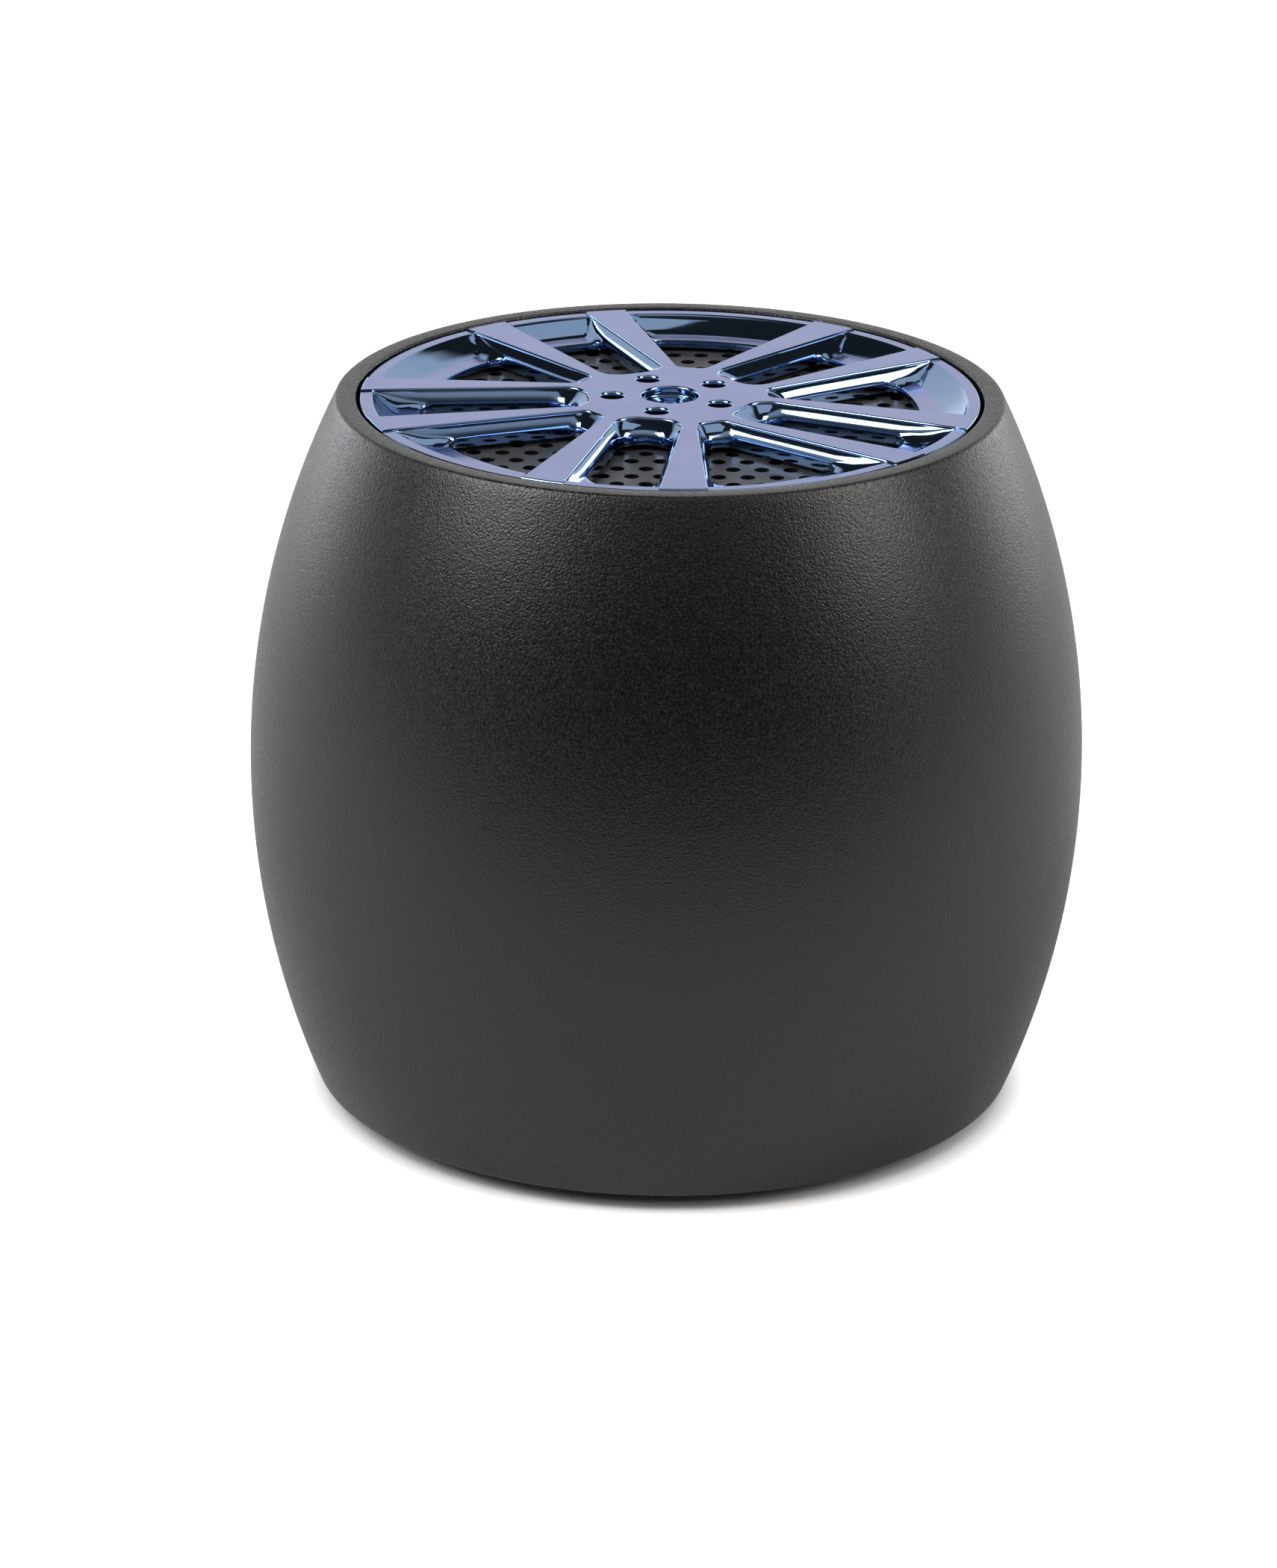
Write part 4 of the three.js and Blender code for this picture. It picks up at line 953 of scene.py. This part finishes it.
def perforation_tree(sheet, edge):
    """Staggered holes cut from a sheet, with one material on the sheet and a painted shade in the
    holes.
    """
    tree = Tree(
        "staggered_holes", Pitch=("Float", HOLE_PITCH), Hole=("Float", HOLE_D),
        Field=("Float", FIELD_R), Top=("Float", GRILLE_TOP_Z),
    )
    columns = 2 * math.ceil(FIELD_R / HOLE_PITCH) + 3
    middle = columns // 2
    row_gap = math.sqrt(3) / 2
    number = tree.add("GeometryNodeInputIndex")[0]
    column = tree.calc("MODULO", number, columns)
    row = tree.calc("FLOOR", tree.calc("DIVIDE", number, columns))
    stagger = tree.calc("MULTIPLY", tree.calc("MODULO", row, 2), 0.5)
    pitch = tree.start["Pitch"]
    x = tree.calc("MULTIPLY", tree.calc("ADD", tree.calc("SUBTRACT", column, middle), stagger), pitch)
    y = tree.calc("MULTIPLY", tree.calc("SUBTRACT", row, middle), row_gap)
    x = tree.calc("ADD", x, FIELD_SHIFT[0])
    y = tree.calc("ADD", tree.calc("MULTIPLY", y, pitch), FIELD_SHIFT[1])
    place = tree.add("ShaderNodeCombineXYZ", X=x, Y=y, Z=tree.start["Top"])[0]
    points = tree.add("GeometryNodePoints", Count=columns * columns, Position=place)["Points"]
    where = tree.add("GeometryNodeInputPosition")[0]
    flat = tree.add("ShaderNodeVectorMath", {"operation": "MULTIPLY"}, i0=where, i1=(1, 1, 0))[0]
    reach = tree.add("ShaderNodeVectorMath", {"operation": "LENGTH"}, i0=flat)["Value"]
    outside = tree.calc("GREATER_THAN", reach, tree.start["Field"])
    kept = tree.add("GeometryNodeDeleteGeometry", Geometry=points, Selection=outside)["Geometry"]
    pin = tree.add(
        "GeometryNodeMeshCylinder", Vertices=FACETS_PER_HOLE,
        Radius=tree.calc("MULTIPLY", tree.start["Hole"], 0.5),
        Depth=4 * SHEET_THICK)["Mesh"]
    marked = tree.add(
        "GeometryNodeStoreNamedAttribute", {"data_type": "BOOLEAN", "domain": "FACE"},
        Geometry=pin, Name="punched", Value=True)["Geometry"]
    pins = tree.add("GeometryNodeInstanceOnPoints", Points=kept, Instance=marked)["Instances"]
    real = tree.add("GeometryNodeRealizeInstances", Geometry=pins)["Geometry"]
    cut = tree.add(
        "GeometryNodeMeshBoolean", {"operation": "DIFFERENCE", "solver": "MANIFOLD"},
        i0=tree.start["Geometry"], i1=real)["Mesh"]
    dressed = tree.add("GeometryNodeSetMaterial", Geometry=cut, Material=sheet)["Geometry"]
    punched = tree.add("GeometryNodeInputNamedAttribute", {"data_type": "BOOLEAN"}, Name="punched")[0]
    # painted shade: the hole walls take the near-black finish
    hole_shaded = tree.add(
        "GeometryNodeSetMaterial", Geometry=dressed, Selection=punched, Material=edge)["Geometry"]
    tree.group.links.new(hole_shaded, tree.end)
    return tree


def make_grille():
    inner_r = GRILLE_R - SHEET_THICK
    under_z = GRILLE_TOP_Z - SHEET_THICK
    outline = [
        (0, GRILLE_TOP_Z),
        (GRILLE_R, GRILLE_TOP_Z, 0.5 * MM),
        (GRILLE_R, GRILLE_FOOT_Z, 0.1 * MM),
        (inner_r, GRILLE_FOOT_Z, 0.1 * MM),
        (inner_r, under_z, 0.2 * MM),
        (0, under_z),
    ]
    grille = revolve("grille_sheet", rounded(outline, 0.1 * MM), facets=160)
    dress(grille, GRILLE_COAT, HOLE_PAINTED_SHADE)
    perforation_tree(GRILLE_COAT.material, HOLE_PAINTED_SHADE.material).put_on(grille)
    settle(grille, weighted=False)
    outward(grille)
    finish_mesh(grille, 40)
    settle(grille)
    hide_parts("grille")
    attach(grille, HOUSING)
    return grille


grille = make_grille()
print("grille faces:", len(grille.data.polygons))

# %% [markdown]
# ## The rest of the frame's pieces
# The pieces inside and underneath already have their true shape in the frame. Here each one gets
# the finish that it has on a real speaker: paper for the cone, rolled cloth for the spider, zinc
# on the screws, glass cloth and resin for the boards. The record names a slot for each piece, and
# one list gives each slot its finish.

# %% Finishes of the inner and under side pieces
def matt(name, colour, roughness, grain, depth, metallic=0.0, spread=0.06, **sockets):
    """A plain finish with a fine grain, a slow drift of colour and a varying gloss."""
    finish = Finish(name, colour, roughness, metallic, **sockets)
    finish.bump(finish.noise(grain, detail=2.0), depth, 0.6)
    finish.rub(finish.noise(grain * 9, detail=3.0), spread)
    lighter = [min(1, c * 1.18 + 0.003) for c in colour]
    finish.tint(finish.noise(grain * 14, detail=2.0), lighter)
    return finish


def foam():
    finish = matt("open_cell_foam", (0.02, 0.02, 0.021), 0.95, 0.3 * MM, 0.02 * MM, spread=0.03)
    finish.bump(finish.cells(0.35 * MM), 0.1 * MM, 0.8)
    return finish


WAVE_BAND = 0.314        # a wave texture at scale 1 repeats after this many metres


def woven(name, colour, thread):
    """A cloth with threads both ways, from two wave bands."""
    finish = Finish(name, colour, 0.85)
    waves = []
    for direction in ("X", "Y"):
        wave = finish.tree.nodes.new("ShaderNodeTexWave")
        wave.bands_direction = direction
        wave.inputs["Scale"].default_value = WAVE_BAND / thread
        wave.inputs["Distortion"].default_value = 0.6
        finish.link(finish.place, wave.inputs["Vector"])
        waves.append(wave.outputs["Fac"])
    weave = finish.math("MAXIMUM", *waves)
    finish.bump(weave, 0.08 * MM, 0.8)
    finish.tint(weave, [c * 0.55 for c in colour], 0.2, 0.9)
    finish.rub(finish.noise(2 * MM), 0.05)
    return finish


def board_green():
    finish = Finish("green_solder_mask", (0.008, 0.06, 0.028), 0.3, Coat_Weight=0.4)
    weave = finish.noise(0.5 * MM, stretch=(1, 6, 1))
    finish.bump(weave, 0.01 * MM, 0.5)
    finish.tint(finish.cells(2.2 * MM), (0.012, 0.1, 0.045), 0.2, 0.32)
    finish.rub(finish.noise(1.5 * MM), 0.07)
    return finish


def brushed_foil():
    finish = Finish("silver_cell_pouch", (0.62, 0.63, 0.65), 0.35, metallic=0.9)
    finish.bump(finish.noise(1.6 * MM, detail=3.0), 0.05 * MM, 0.5)
    finish.rub(finish.noise(0.9 * MM, stretch=(1, 5, 1)), 0.1)
    finish.tint(finish.noise(3 * MM), (0.55, 0.56, 0.58))
    return finish


FOAM = foam()
RUBBER = matt("black_rubber", (0.018, 0.018, 0.018), 0.72, 0.25 * MM, 0.015 * MM)
CONE_PAPER = matt("pressed_paper", (0.035, 0.033, 0.03), 0.88, 0.35 * MM, 0.05 * MM)
SPIDER_CLOTH = woven("resin_cloth", (0.42, 0.24, 0.08), 0.35 * MM)
COPPER = matt("wound_copper", (0.75, 0.3, 0.14), 0.32, 0.2 * MM, 0.01 * MM, metallic=1.0)
ZINC = matt("zinc_plate", (0.6, 0.61, 0.62), 0.36, 0.25 * MM, 0.006 * MM, metallic=1.0)
NICKEL = matt("nickel_plate", (0.66, 0.63, 0.58), 0.25, 0.3 * MM, 0.004 * MM, metallic=1.0)
BASKET_COAT = matt("black_steel_coat", (0.025, 0.025, 0.027), 0.45, 0.2 * MM, 0.01 * MM)
BLACK_PLASTIC = matt("black_moulded_plastic", (0.022, 0.022, 0.023), 0.5, 0.22 * MM, 0.012 * MM)
WHITE_PLASTIC = matt("white_nylon", (0.78, 0.77, 0.72), 0.45, 0.4 * MM, 0.006 * MM)
CLEAR_PLASTIC = matt(
    "clear_light_pipe", (0.86, 0.88, 0.9), 0.14, 0.4 * MM, 0.002 * MM,
    Transmission_Weight=0.85, IOR=1.49)
BOARD_GREEN = board_green()
CELL_FOIL = brushed_foil()
RED_LEAD = matt("red_lead_jacket", (0.5, 0.02, 0.015), 0.42, 0.3 * MM, 0.006 * MM)
BLACK_LEAD = matt("black_lead_jacket", (0.02, 0.02, 0.02), 0.45, 0.3 * MM, 0.006 * MM)

SLOT_FINISHES = {
    "foam": FOAM,
    "black_rubber": RUBBER,
    "cone_paper": CONE_PAPER,
    "spider_cloth": SPIDER_CLOTH,
    "copper": COPPER,
    "zinc_steel": ZINC,
    "nickel": NICKEL,
    "black_steel": BASKET_COAT,
    "black_plastic": BLACK_PLASTIC,
    "white_plastic": WHITE_PLASTIC,
    "clear_plastic": CLEAR_PLASTIC,
    "circuit_green": BOARD_GREEN,
    "cell_foil": CELL_FOIL,
    "red_lead": RED_LEAD,
    "black_lead": BLACK_LEAD,
}
REPLACED = {BARREL, "wheel_trim", "grille", "spider"}
SLOT_OF = {part["node"]: part["material_slot"] for part in frame["record"]["subparts"]}
for node, obj in frame["nodes"].items():
    if node not in REPLACED:
        dress(obj, SLOT_FINISHES[SLOT_OF[node]])
print("dressed", len(frame["nodes"]) - len(REPLACED), "frame pieces")

# %% [markdown]
# ## The spider
# The spider is the corrugated cloth disc that keeps the coil centred. Its waves are a cosine along
# the radius, spun round the axis. Its hole is a little wider than the winding, which rises through
# it on a full stroke.

# %% The spider
def make_spider():
    low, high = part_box("spider")
    winding_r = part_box("voice_coil")[1][0]
    clearance = 0.2 * MM
    thick = 0.3 * MM
    inner_r, outer_r = winding_r + clearance, high[0]
    waves, steps = 3, 48
    height = high[2] - low[2] - thick
    lower = []
    for step in range(steps + 1):
        share = step / steps
        lift = height * (1 - math.cos(2 * math.pi * waves * share)) / 2
        lower.append(Vector((inner_r + (outer_r - inner_r) * share, low[2] + lift)))
    upper = [point + Vector((0, thick)) for point in lower[::-1]]
    spider = dress(revolve("centring_disc", [*lower, *upper], facets=128), SPIDER_CLOTH)
    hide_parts("spider")
    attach(spider, HOUSING)
    return spider


spider = make_spider()
print("spider faces:", len(spider.data.polygons))

# %% [markdown]
# ## The room
# The speaker stands on a plain white floor in a white studio. Polished plate shows nothing but
# its surroundings, so the surroundings are drawn with care. A bright wall stands behind, which the
# flat faces of the wheel mirror. Straight above, and low in front, the room is dark, which gives
# the flanks their deep blue and the barrel its dark middle. Between the two a paler strip of
# ceiling lights the flanks from high in front. A world shader does this with one ramp: it takes
# the angle of each direction, from the front horizon over the top to the back horizon.

# %% The room
# brightness of the room at each angle in degrees
ROOM = (
    (0, 0.03), (16, 0.05), (34, 0.12), (50, 0.4), (76, 0.5), (82, 0.03), (134, 0.02),
    (141, 0.72), (164, 0.78), (172, 1.05), (180, 1.15),
)


def studio_world():
    """White for the camera, and for reflections a room graded from front over the top to back."""
    world = bpy.data.worlds.new("studio")
    bpy.context.scene.world = world
    world.use_nodes = True
    nodes, links = world.node_tree.nodes, world.node_tree.links
    nodes.clear()
    place = nodes.new("ShaderNodeTexCoord")
    split = nodes.new("ShaderNodeSeparateXYZ")
    links.new(place.outputs["Generated"], split.inputs[0])
    forward = nodes.new("ShaderNodeMath")
    forward.operation = "MULTIPLY"
    forward.inputs[1].default_value = -1
    links.new(split.outputs["Y"], forward.inputs[0])
    over = nodes.new("ShaderNodeMath")
    over.operation = "ARCTAN2"
    links.new(split.outputs["Z"], over.inputs[0])
    links.new(forward.outputs[0], over.inputs[1])
    share = nodes.new("ShaderNodeMapRange")
    share.inputs["From Min"].default_value = 0
    share.inputs["From Max"].default_value = math.pi
    links.new(over.outputs[0], share.inputs["Value"])
    sweep = nodes.new("ShaderNodeValToRGB")
    links.new(share.outputs["Result"], sweep.inputs["Fac"])
    ramp = sweep.color_ramp
    while len(ramp.elements) < len(ROOM):
        ramp.elements.new(0.5)
    for element, (degrees, value) in zip(ramp.elements, ROOM):
        element.position = degrees / 180
        element.color = (value, value, value, 1)
    room = nodes.new("ShaderNodeBackground")
    links.new(sweep.outputs["Color"], room.inputs["Color"])
    seen = nodes.new("ShaderNodeBackground")
    seen.inputs["Color"].default_value = (1, 1, 1, 1)
    path = nodes.new("ShaderNodeLightPath")
    choose = nodes.new("ShaderNodeMixShader")
    links.new(path.outputs["Is Camera Ray"], choose.inputs["Fac"])
    links.new(room.outputs[0], choose.inputs[1])
    links.new(seen.outputs[0], choose.inputs[2])
    out = nodes.new("ShaderNodeOutputWorld")
    links.new(choose.outputs[0], out.inputs["Surface"])


studio_world()
print("the room's ramp has", len(ROOM), "stops")

# %% [markdown]
# ## The floor
# The floor is white paper. Its reflection lights the lower half of the barrel. From a hand's width in
# front the paper carries a painted shade, dark for everything but the camera, so that the barrel
# mirrors a dark floor there. For the camera a glow lifts it to a clean white, except close to the
# foot, where an occlusion node dims the glow into a thin painted contact shadow.

# %% The floor
PAPER = (0.92, 0.92, 0.92)
# painted shade: the paper's colour far in front, dark so that the barrel mirrors a dark floor there
PAPER_PAINTED_SHADE = (0.04, 0.04, 0.04)
NEAR_PAPER = 60 * MM               # the paper starts to darken this far in front of the axis
FAR_PAPER = 260 * MM               # and is dark from here on
CONTACT = 3 * MM                   # how far round itself the occlusion node looks
CLOSED, OPEN = 0.35, 0.8           # its values where the glow starts and where it is full
GLOW, GLOW_FAR = 0.85, 0.22        # the glow, and what the dark part of the paper gets on top
FLOOR_HALF, FLOOR_THICK = 3.0, 0.01


def floor_paper():
    """White paper, painted shade in front, and a camera-only glow with a painted contact shadow."""
    paper = Finish("white_paper_floor", PAPER, 0.9)
    paper.rub(paper.noise(8 * MM), 0.03)
    nodes, links = paper.tree.nodes, paper.tree.links
    split = nodes.new("ShaderNodeSeparateXYZ")
    paper.link(paper.place, split.inputs[0])
    in_front = paper.math("MULTIPLY", split.outputs["Y"], -1)
    # painted shade: the paper darkens in front, for the barrel's reflection
    paper.tint(in_front, PAPER_PAINTED_SHADE, NEAR_PAPER, FAR_PAPER)
    # painted contact shadow: the occlusion node dims the camera's glow close to the foot
    near = nodes.new("ShaderNodeAmbientOcclusion")
    near.samples = 8
    near.inputs["Distance"].default_value = CONTACT
    glow = nodes.new("ShaderNodeEmission")
    bright = paper.ramp(near.outputs["AO"], 0.0, GLOW, CLOSED, OPEN)
    bright = paper.math("ADD", bright, paper.ramp(in_front, 0.0, GLOW_FAR, NEAR_PAPER, FAR_PAPER))
    path = nodes.new("ShaderNodeLightPath")
    links.new(paper.math("MULTIPLY", path.outputs["Is Camera Ray"], bright), glow.inputs["Strength"])
    both = nodes.new("ShaderNodeAddShader")
    links.new(paper.shader.outputs[0], both.inputs[0])
    links.new(glow.outputs[0], both.inputs[1])
    links.new(both.outputs[0], nodes["Material Output"].inputs["Surface"])
    return paper


def make_floor():
    """A large thin slab whose top is the ground."""
    bm = bmesh.new()
    corners = [(x * FLOOR_HALF, y * FLOOR_HALF) for x, y in ((-1, -1), (1, -1), (1, 1), (-1, 1))]
    top = [bm.verts.new((x, y, 0)) for x, y in corners]
    foot = [bm.verts.new((x, y, -FLOOR_THICK)) for x, y in corners]
    bm.faces.new(top)
    bm.faces.new(foot[::-1])
    for i in range(4):
        bm.faces.new([top[i], foot[i], foot[(i + 1) % 4], top[(i + 1) % 4]])
    bmesh.ops.recalc_face_normals(bm, faces=bm.faces)
    mesh = bpy.data.meshes.new("floor")
    bm.to_mesh(mesh)
    bm.free()
    floor = new_object("floor", mesh)
    dress(floor, floor_paper())
    return floor


floor = make_floor()
print("floor:", floor.name, "top at z", 0)

# %% [markdown]
# ## The camera
# A long lens from a little above keeps the barrel's sides nearly parallel and still shows the whole
# wheel. The camera is turned a touch about its own line of sight, as a hand-set tripod is. It is
# placed from the barrel's own size, so the framing follows the frame.

# %% The camera
LIFT = math.radians(20.713)        # how far above the level the camera looks down from
ROLL = math.radians(0.538)
CAMERA_DISTANCE = 13.855 * BELLY_R
CAMERA_ASIDE, CAMERA_BELOW = 0.06707 * BELLY_R, 0.12905 * BELLY_R
SENSOR, LENS = 36, 132.08


def make_camera():
    back = Vector((0, -math.cos(LIFT), math.sin(LIFT)))
    right = Vector((1, 0, 0))
    up = Vector((0, math.sin(LIFT), math.cos(LIFT)))
    x_axis = right * math.cos(ROLL) + up * math.sin(ROLL)
    y_axis = up * math.cos(ROLL) - right * math.sin(ROLL)
    middle = Vector((0, 0, (LIP_Z + TOP_Z) / 2))
    data = bpy.data.cameras.new("camera")
    data.sensor_width = SENSOR
    data.lens = LENS
    data.clip_start = 0.01
    camera = bpy.data.objects.new("camera", data)
    bpy.context.scene.collection.objects.link(camera)
    pose = Matrix((x_axis, y_axis, back)).transposed().to_4x4()
    pose.translation = (
        middle + back * CAMERA_DISTANCE - x_axis * CAMERA_ASIDE - y_axis * CAMERA_BELOW)
    camera.matrix_world = pose
    bpy.context.scene.camera = camera
    return camera


camera = make_camera()
print("the camera stands", round(camera.location.length, 3), "m away")

# %% [markdown]
# ## The lamps
# Two softboxes in front, high on the left and right, lay the two highlights on the barrel's
# shoulders and leave its middle dark. Two low panels far round the sides draw the pale edges that
# part the barrel from the white. A weak one overhead fills the wheel.

# %% The lamps
LAMPS = (
    # name, azimuth, elevation, distance, size, radiance, colour
    ("front_left_softbox", -156, 42, 0.75, (0.42, 0.44), 6.0, (1.0, 0.985, 0.97)),
    ("front_right_softbox", -19, 32, 0.7, (0.28, 0.44), 4.2, (1.0, 0.95, 0.88)),
    ("left_panel", 134, 4, 0.7, (0.4, 0.2), 2.4, (0.93, 0.95, 1.0)),
    ("right_panel", 44, 4, 0.7, (0.4, 0.2), 2.2, (1.0, 0.98, 0.97)),
    ("overhead_softbox", 50, 66, 0.6, (0.3, 0.34), 0.65, (1.0, 1.0, 1.0)),
)


def soft_lamp(name, azimuth, elevation, distance, size, radiance, colour):
    """A rectangular lamp that faces the top of the barrel. Radiance keeps its brightness the same
    when its size changes."""
    around, above = math.radians(azimuth), math.radians(elevation)
    direction = Vector((
        math.cos(above) * math.cos(around), math.cos(above) * math.sin(around), math.sin(above)))
    lamp = bpy.data.lights.new(name, "AREA")
    lamp.shape = "RECTANGLE"
    lamp.size, lamp.size_y = size
    lamp.energy = radiance * math.pi * size[0] * size[1]
    lamp.color = colour
    obj = bpy.data.objects.new(name, lamp)
    bpy.context.scene.collection.objects.link(obj)
    obj.location = direction * distance + Vector((0, 0, TOP_Z))
    obj.rotation_euler = (-direction).to_track_quat("-Z", "Y").to_euler()
    return obj


for lamp in LAMPS:
    soft_lamp(*lamp)
bpy.context.scene.view_settings.view_transform = "Standard"
print("lamps:", [lamp[0] for lamp in LAMPS])
